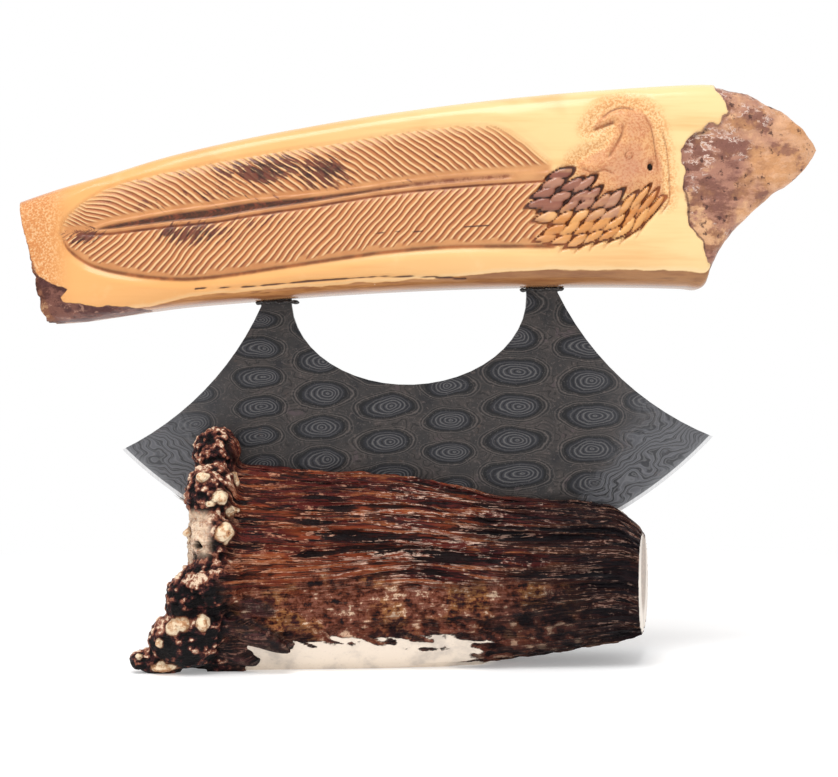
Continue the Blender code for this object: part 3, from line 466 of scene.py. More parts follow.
def shape_handle():
    """Points and paints of the handle's skin, ring by ring from its left end to its tip."""
    heights, depths = section_outline()
    line = through(handle_shares, handle_places())
    top, low = (
        np.stack([HANDLE_LEFT + line[:, k] * HANDLE_LENGTH, 0 * line[:, k],
                  HANDLE_FOOT + line[:, k + 1] * HANDLE_RISE], -1)
        for k in (0, 2))
    middle, half = (top + low) / 2, (top - low) / 2
    thick = line[:, 4] * HANDLE_THICKNESS / 2
    skin = middle[:, None] + half[:, None] * heights[None, :, None]
    skin[..., 1] += thick[:, None] * depths[None]

    up = half / np.linalg.norm(half, axis=1)[:, None]
    tall = np.linalg.norm(half, axis=1)
    rounding = np.where(depths < 0, FACE_ROUNDING, BACK_ROUNDING)
    steep_up = np.sign(heights) * np.abs(heights) ** (rounding - 1) / tall[:, None]
    steep_out = np.sign(depths) * np.abs(depths) ** (rounding - 1) / thick[:, None]
    outward = up[:, None] * steep_up[..., None]
    outward[..., 1] += steep_out
    outward /= np.linalg.norm(outward, axis=-1)[..., None]

    x = (skin[..., 0] - HANDLE_LEFT) / MM
    z = (skin[..., 2] - HANDLE_FOOT) / MM
    on_face = ease(0.35, 0.75, -outward[..., 1])
    paints = {}
    feather, inside = carve_feather(x, z, paints)
    head, weight = carve_head(x, z, paints)
    carved = feather * (1 - weight) + head * weight
    for name in ("vane", "feather", "channel"):
        paints[name] = paints[name] * (1 - weight)
    for name in ("vane", "feather", "channel", "hollow", "head", "plumage", "stipple", "pit"):
        paints[name] = paints[name] * on_face
    dent = carved * on_face

    real = skin / MM
    noise = rough(real, (5, 5, 5), 3, 31)
    bark = inside_distance(bark_edge, x, z) + 1.1 * noise
    chip = inside_distance(corner_chip, x, z) + 0.5 * noise
    paints["bark"] = np.clip(bark, -3, 3)
    paints["chip"] = np.clip(np.where(depths < 0.2, chip, -3), -3, 3)
    step = ease(-0.25, 0.45, bark) * BARK_STEP
    lumps = rough(real, (4.5, 3, 2.2), 4, 41)
    rim = np.exp(-((bark - 0.8) / 0.9) ** 2) * np.abs(noise)
    step += ease(0.0, 1.0, bark) * (0.35 * lumps + 0.30 * rim) * MM
    dent = np.maximum(dent, 0) * (1 - ease(-0.3, 0.3, bark)) + np.minimum(dent, 0) + np.maximum(step, 0)
    dent += ease(-0.1, 0.4, chip) * (0.30 + 0.22 * rough(real, (3.5, 3, 2), 3, 51)) * MM * (depths < 0.3)
    crack = line_distance(long_crack, x, z)[0]
    crack_open = np.exp(-((crack + 0.12 * rough(real, (3, 3, 3), 2, 61)) / 0.17) ** 2)
    crack_open *= ease(-0.35, 0.25, rough(real, (14, 14, 14), 2, 62) + 0.35) * on_face
    dent += 0.5 * MM * crack_open
    barb_crack = line_distance(vane_crack, x, z)[0]
    hairline = np.exp(-((barb_crack + 0.2 * rough(real, (2, 2, 2), 2, 63)) / 0.14) ** 2) * on_face
    hairline *= ease(-0.2, 0.2, rough(real, (6, 6, 6), 2, 64))
    paints["crack"] = np.maximum(crack_open, 0.8 * hairline)
    dent += 0.06 * MM * (1 + grain(real, (16, 10, 10), 71))
    above_foot = z - (low[:, 2, None] - HANDLE_FOOT) / MM
    strip_height = 2.1 + 1.5 * ease(95, 130, x) - 1.2 * (1 - ease(30, 46, x))
    strip_edge = above_foot - strip_height + 0.35 * rough(real, (7, 7, 3), 3, 72)
    paints["strip"] = np.clip(strip_edge, -3, 3) * (depths < 0.9) + 3 * (depths >= 0.9)
    groove = np.exp(-(strip_edge / 0.25) ** 2) * (depths < 0.2) * ease(34, 44, x) * (1 - ease(170, 176, x))
    dent += 0.16 * MM * groove

    left = np.clip(1 - (x - 0.3 * (22 - z)) / 3.0, 0, 1)
    inward = np.clip(0.25 + 0.55 * rough(real, (9, 2.6, 2.0), 3, 81), 0, 1.2) * MM
    skin = skin - outward * dent[..., None]
    skin[..., 0] += np.where(np.arange(len(x))[:, None] < 8, inward * left, 0)
    skin[..., 0] -= 0.20 * MM * ease(188, 203, x)
    paints["raw_end"] = left
    caps = np.linspace(1, 0.04, CAP_RINGS + 1)[1:]
    first_centre = skin[0].mean(0)
    last_centre = skin[-1].mean(0)
    first = [first_centre + (skin[0] - first_centre) * s for s in caps[::-1]]
    last = [last_centre + (skin[-1] - last_centre) * s for s in caps]
    for s, ring in zip(caps[::-1], first):
        broken = np.clip(0.25 + 0.4 * rough(ring / MM, (4, 2.4, 1.6), 3, 91), 0.05, 1)
        ring[:, 0] += broken * MM * (1 - s ** 6)
    for name, paint in paints.items():
        paints[name] = np.concatenate([[paint[0]] * CAP_RINGS, paint, [paint[-1]] * CAP_RINGS])
    rings = len(skin) + 2 * CAP_RINGS
    paints["raw_end"] = np.where(np.arange(rings)[:, None] < CAP_RINGS, 1.0, paints["raw_end"])
    return np.concatenate([first, skin, last]), paints


def paint_points(mesh, paints):
    """Keeps a value for each paint on each point, for the finish."""
    for key, paint in paints.items():
        layer = mesh.attributes.new(key, "FLOAT", "POINT")
        layer.data.foreach_set("value", np.ascontiguousarray(paint.reshape(-1), np.float32))


def add_skin(name, skin, paints):
    """A closed mesh through rings of points, with a value painted on each point for the finish."""
    rings, count = skin.shape[:2]
    first = np.arange(rings - 1)[:, None] * count + np.arange(count)
    turn = np.arange(rings - 1)[:, None] * count + (np.arange(count) + 1) % count
    quads = np.stack([first, turn, turn + count, first + count], -1).reshape(-1, 4)
    ends = [list(range(count))[::-1], list(range((rings - 1) * count, rings * count))]
    mesh = bpy.data.meshes.new(name)
    mesh.from_pydata(skin.reshape(-1, 3).tolist(), [], quads.tolist() + ends)
    paint_points(mesh, paints)
    made = put_in_scene(name, mesh)
    shape = bmesh.new()
    shape.from_mesh(mesh)
    bmesh.ops.recalc_face_normals(shape, faces=shape.faces)
    shape.to_mesh(mesh)
    shape.free()
    mesh.shade_smooth()
    return made


class Paint:
    """A number, colour or vector in a tree of nodes, with operators that add the nodes for them."""

    def __init__(self, nodes, socket):
        self.nodes = nodes
        self.socket = socket

    def __add__(self, other):
        return self.nodes.maths("ADD", self, other)

    def __sub__(self, other):
        return self.nodes.maths("SUBTRACT", self, other)

    def __rsub__(self, other):
        return self.nodes.maths("SUBTRACT", other, self)

    def __mul__(self, other):
        return self.nodes.maths("MULTIPLY", self, other)

    def __truediv__(self, other):
        return self.nodes.maths("DIVIDE", self, other)

    def __abs__(self):
        return self.nodes.maths("ABSOLUTE", self)

    __radd__ = __add__
    __rmul__ = __mul__

    def sway(self, strength):
        """A noise's swing to both sides of nothing."""
        return (self - 0.5) * strength

    def beside(self, output):
        """Another output of the same node."""
        return Paint(self.nodes, self.socket.node.outputs[output])


def colour(code):
    """A colour written as red, green and blue in hexadecimal, as the linear values of a shader."""
    levels = [int(code[k:k + 2], 16) / 255 for k in (0, 2, 4)]
    return (*[((v + 0.055) / 1.055) ** 2.4 if v > 0.04045 else v / 12.92 for v in levels], 1)


class Nodes:
    """A tree of nodes, whose maths is written as expressions."""

    def __init__(self, tree):
        self.tree = tree

    def set(self, socket, value):
        if isinstance(value, Paint):
            self.tree.links.new(value.socket, socket)
        else:
            socket.default_value = value

    def node(self, kind, settings, inputs, output=0):
        made = self.tree.nodes.new(kind)
        for key, value in settings.items():
            setattr(made, key, value)
        for key, value in inputs.items():
            self.set(made.inputs[key], value)
        return Paint(self, made.outputs[output])

    def maths(self, operation, a, b=0.0):
        return self.node("ShaderNodeMath", {"operation": operation}, {0: a, 1: b})

    def most(self, first, *others):
        for other in others:
            first = self.maths("MAXIMUM", first, other)
        return first

    def vector(self, operation, *vectors):
        return self.node("ShaderNodeVectorMath", {"operation": operation}, dict(enumerate(vectors)))

    def split(self, vector):
        x = self.node("ShaderNodeSeparateXYZ", {}, {0: vector}, "X")
        return x, x.beside("Y"), x.beside("Z")

    def joined(self, x, y):
        return self.node("ShaderNodeCombineXYZ", {}, {0: x, 1: y})

    def value(self, name):
        return self.node("ShaderNodeAttribute", {"attribute_name": name}, {}, "Fac")

    def place(self):
        return self.node("ShaderNodeTexCoord", {}, {}, "Object")

    def stretched(self, vector, scale):
        return self.node("ShaderNodeMapping", {}, {"Vector": vector, "Scale": scale})

    def noise(self, vector, scale, detail, roughness):
        inputs = {"Vector": vector, "Scale": scale, "Detail": detail, "Roughness": roughness}
        return self.node("ShaderNodeTexNoise", {}, inputs)

    def ease(self, low, high, value):
        """0 where value is at low, 1 where it is at high, smooth between them."""
        inputs = {"Value": value, "From Min": low, "From Max": high}
        return self.node("ShaderNodeMapRange", {"interpolation_type": "SMOOTHSTEP"}, inputs)

    def mix(self, share, under, over):
        under, over = (colour(c) if isinstance(c, str) else c for c in (under, over))
        return self.node("ShaderNodeMix", {"data_type": "RGBA"}, {0: share, 6: under, 7: over}, 2)

    def coats(self, base, *coats):
        """Colours laid over a base one after another, each where its share says."""
        for share, over in coats:
            base = self.mix(share, base, over)
        return base

    def bump(self, height, distance, strength):
        return self.node("ShaderNodeBump", {}, {"Height": height, "Distance": distance, "Strength": strength})

    def seen_white(self):
        """1 for rays that the eye sees straight, in a mirror or through glass."""
        straight = self.node("ShaderNodeLightPath", {}, {}, "Is Camera Ray")
        return self.most(straight, straight.beside("Is Glossy Ray"), straight.beside("Is Transmission Ray"))


class Finish(Nodes):
    """A material made of nodes round one shader."""

    def __init__(self, name):
        self.material = bpy.data.materials.new(name)
        self.material.use_nodes = True
        super().__init__(self.material.node_tree)
        self.shader = self.tree.nodes["Principled BSDF"]

    def done(self, **inputs):
        for key, value in inputs.items():
            self.set(self.shader.inputs[key.replace("_", " ")], value)
        return self.material


def carved_ivory():
    """Polished old ivory: honey to pale yellow, with painted shade in the cuts, painted highlights on the
    barbs and the bark, and stains, bark and cracks.
    """
    f = Finish("carved_ivory")
    place = f.place()
    x, _, z = f.split(place)
    streaks = f.noise(f.stretched(place, (14, 90, 160)), 1.0, 4.0, 0.6)
    clouds = f.noise(place, 38.0, 3.0, 0.5)
    fine = f.noise(place, 1900.0, 2.0, 0.6)
    ragged = f.noise(place, 420.0, 4.0, 0.65)
    mottle = f.noise(place, 150.0, 3.0, 0.6)

    pale = f.ease(-0.10, 0.07, x + (z - 0.15) * 0.8 + clouds.sway(0.05))
    base = f.coats(
        f.mix(pale, "EDAE6A", "F5D398"),
        (f.ease(0.45, 0.72, streaks) * 0.55, "DE9A56"),
        (f.ease(0.58, 0.76, clouds) * 0.40, "D08340"),
        (f.ease(0.55, 0.80, mottle) * 0.25, "F6D49C"),
        (f.ease(-0.084, -0.098, x) * 0.85, "CB8049"),
    )

    share = f.maths("FRACT", f.value("barb") + f.noise(place, 260.0, 3.0, 0.6).sway(0.22))
    along_barb = f.joined(f.value("barb") * 1.9, f.value("out") * 0.22)
    blotch = f.noise(along_barb, 1.0, 4.0, 0.7)
    # Painted light on the barbs: crest is a painted highlight along each barb's crest, the body darkens
    # towards the groove as painted shade on its slope, and a painted shadow line runs in each groove.
    crest = f.ease(0.10, 0.20, share) * f.ease(0.50, 0.34, share)
    groove_shade = f.most(f.ease(0.12, 0.03, share), f.ease(0.90, 0.99, share))
    body = f.coats(
        f.mix(f.ease(0.35, 0.95, share), "D3905A", "AB6238"),
        (f.ease(0.40, 0.66, blotch) * 0.5, "99583A"),
    )
    barbs = f.coats(
        f.mix(crest, body, "F1C894"),
        (groove_shade * 0.85, "75381F"),
    )
    edge_fade = f.ease(0.55, 0.05, f.value("margin")) * f.ease(-0.5, 0.5, f.value("out")) * 0.50
    barbs = f.mix(edge_fade, barbs, "E9B678")
    vane = f.value("vane")
    feather = f.value("feather")
    base = f.coats(
        base,
        (feather * 0.85, f.mix(f.ease(0.35, 0.65, mottle), "BE7B4C", "CF8F5C")),
        (vane * 0.95, barbs),
    )

    stipple = f.value("stipple")
    base = f.coats(
        base,
        (stipple * 0.45, "E3A468"),
        (stipple * f.ease(0.48, 0.60, fine) * 0.55, "C4743C"),
        (stipple * f.ease(0.48, 0.38, fine) * 0.40, "F9DCAE"),
    )
    head = f.value("head")
    base = f.coats(
        base,
        (head * 0.65, f.mix(f.ease(0.40, 0.60, mottle), "DB9A66", "CC8762")),
        (f.value("cheek") * head * 0.60, "C58C70"),
        (head * f.ease(0.50, 0.60, fine) * 0.35, "B76C44"),
    )

    plumage = f.value("plumage")
    mauve = f.ease(0.25, 0.75, f.value("mauve") + mottle.sway(0.7))
    scale = f.mix(f.value("tone"), "C47A3C", "E6AC6A")
    mauve_scale = f.mix(f.value("tone"), "8A5242", "B27E66")
    scale = f.coats(
        scale,
        (mauve, mauve_scale),
        (f.ease(0.45, 0.62, streaks) * 0.35, "EDBE8C"),
    )
    base = f.mix(plumage, base, scale)

    # Painted shade: the carved recesses are laid with dark brown, deeper on mauve scales, standing in for the
    # shade in them.
    hollow = f.value("hollow")
    hollow_shade_colour = f.coats(
        f.mix(f.ease(0.42, 0.58, mottle), "6A2F14", "9A5228"),
        (plumage * mauve, "35150F"),
    )
    base = f.mix(f.ease(0.12, 0.80, hollow + ragged.sway(0.25)) * 0.92, base, hollow_shade_colour)
    channel = f.value("channel")
    shaft_stain = f.ease(0.020, -0.025, x + clouds.sway(0.06))
    shaft_colour = f.mix(f.ease(0.42, 0.58, ragged), "9A5A3C", "C68C62")
    stained_shaft = f.mix(f.ease(0.47, 0.60, blotch + ragged.sway(0.4)), "240B0A", "742C1C")
    base = f.mix(channel * 0.94, base, f.mix(shaft_stain * 0.95, shaft_colour, stained_shaft))

    stain = f.value("stain")
    dark = stain + blotch.sway(2.4) + ragged.sway(1.0) - crest * vane * 0.18
    stain_colour = f.mix(f.ease(0.42, 0.58, ragged), "2E1416", "6A3428")
    base = f.mix(f.ease(0.40, 0.66, dark) * 0.92 * f.ease(0.0, 0.2, stain) * feather, base, stain_colour)

    strip = f.value("strip") + ragged.sway(0.5)
    strip_tone = f.noise(f.stretched(place, (45, 300, 300)), 1.0, 4.0, 0.65)
    strip_colour = f.coats(
        f.mix(f.ease(0.38, 0.60, strip_tone), "8E5632", "BC8250"),
        (f.ease(0.58, 0.68, strip_tone) * f.ease(0.48, 0.62, clouds), "5C301E"),
        (f.ease(-0.010, 0.020, x + clouds.sway(0.08)) * 0.45, "6A3A24"),
        (f.ease(0.70, 0.76, ragged), "E8CDB0"),
    )
    # The pale band just above the lower strip is a painted highlight along its edge.
    base = f.coats(
        base,
        (f.ease(1.4, 0.2, strip) * f.ease(0.0, 0.2, strip) * 0.35, "FBE2B4"),
        (f.ease(0.15, -0.15, strip) * 0.90, strip_colour),
    )

    chip = f.value("chip") + ragged.sway(0.7)
    bark = f.value("bark") + ragged.sway(0.9)
    flakes = f.noise(f.stretched(place, (150, 150, 300)), 1.0, 5.0, 0.7)
    smudges = f.noise(place, 95.0, 4.0, 0.6)
    tan_side = f.ease(0.070, 0.096, x + smudges.sway(0.09))
    bark_colour = f.coats(
        f.mix(f.ease(0.44, 0.56, flakes), "7E5244", "AC7A66"),
        (f.ease(0.54, 0.62, smudges + flakes.sway(0.5)), "D0A27A"),
        (tan_side * 0.88, f.mix(f.ease(0.44, 0.60, flakes), "D69C6C", "E2AE86")),
        (f.ease(0.44, 0.36, smudges + flakes.sway(0.6)) * 0.60, "8A5C50"),
        (f.ease(0.42, 0.33, ragged) * 0.85, "432622"),
    )
    # Painted highlight: thin near-white glints along the flakes of the bark, fewer on its tan side.
    glint_gap = abs(flakes + ragged.sway(0.3) - 0.53)
    bark_glints = f.ease(0.030, 0.008, glint_gap) * f.ease(0.46, 0.56, clouds + ragged.sway(0.5))
    bark_glints = bark_glints * (1 - tan_side * 0.6)
    bark_colour = f.mix(bark_glints * 0.75, bark_colour, "F2DDD0")
    chip_colour = f.mix(f.ease(0.42, 0.58, flakes), "54302D", "7C5044")
    red_wedge = f.ease(0.1455, 0.1475, z + (x + 0.088) * 0.5 + ragged.sway(0.004))
    chip_colour = f.coats(
        chip_colour,
        (red_wedge * 0.8, f.mix(f.ease(0.44, 0.56, ragged), "7A3A26", "A8663E")),
        (f.ease(0.58, 0.66, ragged) * 0.7, "B08470"),
        (f.ease(0.44, 0.36, ragged) * 0.8, "4A2620"),
    )
    on_chip = f.ease(-0.12, 0.12, chip)
    on_bark = f.ease(-0.12, 0.12, bark)
    base = f.coats(
        base,
        (on_chip, chip_colour),
        (on_bark, bark_colour),
    )
    broken = f.ease(0.46, 0.56, smudges)
    base = f.coats(
        base,
        (f.ease(0.5, 0.0, abs(bark - 0.4)) * 0.70 * broken, "3F2621"),
        (f.ease(0.3, 0.0, abs(chip - 0.1)) * 0.6 * broken, "5A3226"),
    )
    raw = f.value("raw_end")
    raw_colour = f.coats(
        f.mix(f.ease(0.44, 0.56, flakes), "4E2A20", "8A5A42"),
        (f.ease(0.55, 0.62, ragged), "B98C68"),
    )
    base = f.coats(
        base,
        (f.ease(0.55, 0.80, raw + ragged.sway(0.8)) * 0.90, raw_colour),
        (f.ease(0.25, 0.60, f.value("crack")) * 0.9, "47221A"),
        (f.ease(0.2, 0.8, f.value("pit")), "1C130E"),
    )

    rough_part = f.most(on_bark * 0.7, feather * 0.35, raw)
    roughness = 0.26 + f.most(rough_part, stipple * 0.8) * 0.26 + fine.sway(0.06)
    soft = stipple * 0.7 + on_bark * 1.1 + on_chip * 0.7 + raw * 0.5 + plumage * 0.2 + vane * 0.2 + 0.03
    height = (ragged + fine * 0.5) * soft
    dull = f.most(on_chip, rough_part, stipple * 0.6)
    return f.done(
        Base_Color=base, Roughness=roughness + on_chip * 0.2, Normal=f.bump(height, 0.00045, 0.8),
        Coat_Weight=0.24 - dull * 0.24, Coat_Roughness=0.12, Specular_IOR_Level=0.26)


def paint_stains(x, z):
    """Where the ivory is stained dark: over the middle of the upper vane and along the shaft."""
    stains = [
        (62.0, 37.0, 15.0, 4.6, 0.84), (76.0, 36.5, 9.0, 4.4, 0.88), (43.0, 21.6, 12.0, 2.8, 0.80),
        (16.5, 21.4, 6.0, 2.4, 0.80), (33.0, 29.5, 9.0, 2.2, 0.45), (50.0, 31.0, 10.0, 2.4, 0.50),
        (60.0, 24.0, 12.0, 2.2, 0.45), (24.0, 30.0, 5.0, 1.6, 0.3), (64.0, 35.5, 34.0, 5.5, 0.36),
        (104.0, 38.0, 16.0, 4.0, 0.26),
    ]
    stain = np.zeros_like(x)
    for spot_x, spot_z, half_width, half_height, strength in stains:
        away = np.hypot((x - spot_x) / half_width, (z - spot_z) / half_height)
        stain = np.maximum(stain, strength * np.exp(-away ** 2 * 0.9))
    return stain


handle_skin, handle_paints = shape_handle()
face_x = (handle_skin[..., 0] - HANDLE_LEFT) / MM
face_z = (handle_skin[..., 2] - HANDLE_FOOT) / MM
handle_paints["stain"] = paint_stains(face_x, face_z) * (handle_skin[..., 1] < 0)
knife_place = Matrix.Translation(KNIFE_CENTRE) @ Matrix.Rotation(-KNIFE_LEAN, 4, "Y")
handle = add_skin("carved_handle", handle_skin, handle_paints)
handle.data.transform(knife_place)
handle.data.materials.append(carved_ivory())
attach(handle, "knife")
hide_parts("handle")

# Tang beddings
# Dark resin fills the slots round both tangs. It was pressed out as the blade went in, and set in a
# ragged grey bead at each mouth.

BEAD_VOXEL = 0.20 * MM
BEAD_BORDER = 1.3 * MM
BEAD_LUMPS = 90


def squeezed_bead(name, node, seed):
    """A thin ragged bead of resin pressed out round the mouth of a slot."""
    low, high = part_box(node)
    middle = (low + high) / 2
    half_x = (high.x - low.x) / 2 - BEAD_BORDER
    half_y = (high.y - low.y) / 2 - BEAD_BORDER
    shape = bmesh.new()
    for i in range(BEAD_LUMPS):
        turn = 2 * pi * i / BEAD_LUMPS
        spot = np.array([[i * 1.1, seed, 0.0]])
        stray = float(grain(spot, 1.3, seed)[0])
        reach = 1 + 0.10 * stray
        x = middle.x + half_x * reach * np.clip(1.15 * cos(turn), -1, 1)
        y = middle.y + half_y * reach * np.clip(1.3 * sin(turn), -1, 1)
        rise = 0.58 + 0.25 * float(grain(spot, 2.3, seed + 5)[0])
        z = low.z + (x - low.x) * sin(KNIFE_LEAN) + rise * MM
        made = bmesh.ops.create_icosphere(shape, subdivisions=2, radius=(0.42 + 0.16 * stray) * MM)
        bmesh.ops.scale(shape, vec=(1.5, 1.3, 0.8), verts=made["verts"])
        bmesh.ops.translate(shape, vec=(x, y, z), verts=made["verts"])
    mesh = bpy.data.meshes.new(name)
    shape.to_mesh(mesh)
    shape.free()
    return put_in_scene(name, mesh)


def baked_mesh(made, voxel):
    """The object's mesh as one closed skin of even small faces."""
    melt = made.modifiers.new("melt", "REMESH")
    melt.mode = "VOXEL"
    melt.voxel_size = voxel
    bpy.context.view_layer.update()
    melted = bpy.data.meshes.new_from_object(made.evaluated_get(bpy.context.evaluated_depsgraph_get()))
    made.modifiers.clear()
    made.data = melted
    made.data.name = made.name
    return made


def points_of(mesh):
    """Places and normals of a mesh's points."""
    points = np.zeros(len(mesh.vertices) * 3, np.float32)
    mesh.vertices.foreach_get("co", points)
    normals = np.zeros(len(mesh.vertices) * 3, np.float32)
    mesh.vertex_normals.foreach_get("vector", normals)
    return points.reshape(-1, 3).astype(float), normals.reshape(-1, 3).astype(float)


def move_points(mesh, points):
    mesh.vertices.foreach_set("co", np.ascontiguousarray(points.reshape(-1), np.float32))
    mesh.update()


def set_resin():
    """Black resin that set grey and dusty where it was pressed out."""
    f = Finish("set_resin")
    place = f.place()
    lumps = f.noise(place, 700.0, 4.0, 0.65)
    dust = f.noise(place, 2200.0, 2.0, 0.6)
    base = f.coats(
        f.mix(f.ease(0.44, 0.66, lumps), "141314", "4A4747"),
        (f.ease(0.60, 0.72, dust) * 0.6, "A39C97"),
    )
    return f.done(
        Base_Color=base, Roughness=0.45 + lumps * 0.25, Normal=f.bump(lumps + dust * 0.4, 0.0004, 0.8))


for side, seed in (("left", 3), ("right", 8)):
    bead = baked_mesh(squeezed_bead(side + "_resin_bead", side + "_tang_bedding", seed), BEAD_VOXEL)
    bead_points, bead_normals = points_of(bead.data)
    crumbs = rough(bead_points / MM, (0.9, 0.9, 0.9), 2, seed) * 0.10 * MM
    move_points(bead.data, bead_points + bead_normals * crumbs[:, None])
    bead.data.shade_smooth()
    bead.data.materials.append(set_resin())
    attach(bead, "knife")
    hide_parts(side + "_tang_bedding")

# Blade
# A plate of two steels, forge-welded in layers, dimpled and ground flat so that the layers show as
# rings like raindrops, then etched dark and sharpened along its round edge.

EDGE_RADIUS = 0.1063
HONED_WIDTH = 0.9

# Columns of drops, in millimetres from the middle of the round edge: place across, height of one drop,
# spacing up the column, and half sizes across and up.
drop_columns = [
    (-58.5, -68.1, 8.0, 5.7, 2.8),
    (-41.0, -56.4, 7.5, 5.4, 2.6),
    (-24.8, -69.4, 8.5, 6.7, 3.1),
    (-8.1, -73.4, 8.8, 7.0, 2.9),
    (8.2, -68.3, 8.8, 5.8, 2.8),
    (24.8, -65.1, 8.8, 7.2, 3.2),
    (44.3, -68.0, 8.8, 7.2, 3.2),
    (59.8, -73.8, 9.3, 6.2, 2.9),
]


def raindrop_steel():
    """Etched pattern steel: ringed drops in staggered columns, and layers that run along the edge."""
    f = Finish("raindrop_steel")
    seated = {"Vector": f.vector("SUBTRACT", f.place(), KNIFE_CENTRE), "Angle": KNIFE_LEAN}
    turned = f.node("ShaderNodeVectorRotate", {"rotation_type": "Y_AXIS"}, seated)
    size = f.node("ShaderNodeVectorMath", {"operation": "SCALE"}, {0: turned, "Scale": 1000.0})
    wobble = f.node("ShaderNodeTexNoise", {}, {"Vector": size, "Scale": 0.075, "Detail": 2.0}, "Color")
    centred = f.vector("SUBTRACT", wobble, (0.5, 0.5, 0.5))
    warp = f.vector("MULTIPLY_ADD", centred, (7.0, 0.0, 3.4), size)
    x, _, z = f.split(warp)
    still, _, still_z = f.split(size)

    def wave(value):
        """1 where value is whole and 0 halfway between."""
        return abs(f.maths("FRACT", value) - 0.5) * 2

    away = 9.0
    for place_x, place_z, spacing, half_width, half_height in drop_columns:
        across = (x - place_x) / half_width
        up = (f.maths("FRACT", (z - place_z) / spacing + 100.5) - 0.5) * (spacing / half_height)
        outer = f.maths("SQRT", across * across + up * up)
        led = across - f.most(1.0 - outer, 0.0) * 0.22
        away = f.maths("MINIMUM", f.maths("SQRT", led * led + up * up), away)
    fine = f.noise(size, 0.9, 3.0, 0.6)
    specks = f.noise(size, 2.6, 2.0, 0.6)
    broad = f.noise(f.stretched(warp, (0.75, 1.0, 1.25)), 0.13, 2.0, 0.5)
    blotch = f.noise(size, 0.16, 4.0, 0.6)
    away = away + fine.sway(0.10)
    radius = f.maths("SQRT", still * still + still_z * still_z)
    inward = (EDGE_RADIUS / MM) - radius
    side = f.ease(30.0, 62.0, abs(still))
    ground = f.ease(7.0 + side * 15.0, 2.0 + side * 8.0, inward + broad.sway(12.0))

    base = f.coats(
        f.mix(f.ease(0.40, 0.62, blotch), "302D2D", "3F3937"),
        (f.ease(0.62, 0.70, blotch) * 0.7, "54464A"),
        (f.ease(0.42, 0.32, blotch) * 0.7, "1D1C20"),
    )
    flow = wave(broad * 13.0 + fine * 0.5)
    base = f.coats(
        base,
        (f.ease(0.72, 0.92, flow) * f.ease(0.42, 0.55, blotch) * 0.70, "171516"),
        (f.ease(0.30, 0.10, flow) * f.ease(0.50, 0.62, fine) * 0.50, "665B57"),
    )
    halo = f.ease(1.02, 1.08, away) * f.ease(1.42, 1.18, away)
    halo_line = wave(away * 6.5)
    base = f.coats(
        base,
        (halo * f.ease(0.60, 0.85, halo_line) * 0.80, "151416"),
        (halo * f.ease(0.40, 0.15, halo_line) * 0.60, "655D59"),
    )

    inside = f.ease(1.02, 0.97, away)
    inner = f.mix(f.ease(0.95, 0.45, away + blotch.sway(0.6)), "1F1F25", "34343A")
    ring = wave(away * 5.4 + 0.2)
    fading = f.ease(0.84, 0.74, away) * f.ease(0.30, 0.45, fine + 0.1)
    inner = f.coats(
        inner,
        (fading * f.ease(0.62, 0.85, ring) * 0.75, "121216"),
        (fading * f.ease(0.38, 0.12, ring) * 0.65, "6A6866"),
    )
    base = f.mix(inside, base, inner)
    outline = f.ease(0.86, 0.93, away) * f.ease(1.05, 0.99, away)
    base = f.mix(outline * 0.85, base, "0C0C0F")

    layer = wave(inward * 0.62 + broad * 9.0 + fine * 0.4)
    edge_base = f.coats(
        f.mix(f.ease(0.35, 0.75, layer), "55555A", "1D1D21"),
        (f.ease(0.55, 0.75, wave(inward * 1.7 + broad * 20.0)) * 0.4, "79797B"),
    )
    base = f.coats(
        base,
        (ground * 0.92, edge_base),
        (f.ease(40.0, 74.0, abs(still)) * 0.22, "85868A"),
        (f.ease(0.60, 0.74, specks) * 0.22, "8B8582"),
    )
    rust = f.noise(size, 0.21, 4.0, 0.7)
    base = f.mix(f.ease(0.64, 0.76, rust) * 0.35, base, "63493C")
    honed = f.ease(HONED_WIDTH + 0.12, HONED_WIDTH - 0.08, inward)
    ground_off = f.ease(2.6, 1.0, inward)
    scratches = f.noise(f.stretched(size, (6.0, 1.0, 0.7)), 1.0, 2.0, 0.6)
    base = f.coats(
        base,
        (ground_off * 0.35, "8E9093"),
        (honed, f.mix(scratches, "BDBEC0", "EDEDEE")),
    )
    roughness = 0.46 - honed * 0.14 + fine.sway(0.2)
    normal = f.bump(ring * inside * (1 - honed), 0.00005, 0.8)
    return f.done(Base_Color=base, Roughness=roughness, Normal=normal, Metallic=0.35)


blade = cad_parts["blade"]
blade.data.materials.clear()
blade.data.materials.append(raindrop_steel())

# Stand
# The foot of a shed antler laid on its side: the knobbly burr on the left, the furrowed beam to the
# right. It is cut flat below, sanded on its lower front, sawn off on the right and slit for the blade.

BEAM_LEFT = -0.0520
BEAM_LENGTH = 0.1200
BEAM_HEIGHT = 0.0560
BEAM_WIDTH = 0.0520
BEAM_ROUNDING = 2.3
BEAM_SIDES = 80
RIDGE_HEIGHT = 1.2 * MM
SWELL_HEIGHT = 0.7 * MM
SWELL_COUNT = 3
SWELL_TWIST = 5
BURR_X = -0.0540
BURR_WIDTH = 0.0150
BURR_RADIUS = 0.0300
BURR_CENTRE_HEIGHT = 0.0285
BURR_CORE_HALF_WIDTH = 0.0095
CORE_HEIGHT = 0.0230
END_CUT_X = 0.0590
END_CUT_ANGLE = radians(11.0)
FACET_LEFT = (-0.0420, -0.0165)
FACET_RIGHT = (0.0240, -0.0110)
FACET_LEAN = radians(40.0)
KERF_RADIUS = 0.1066
KERF_WIDTH = 0.0034
ANTLER_VOXEL = 0.445 * MM
ANTLER_SQUEEZE = 0.56
FURROW_DEPTH = 1.1 * MM
CRUMB_HEIGHT = 1.8 * MM

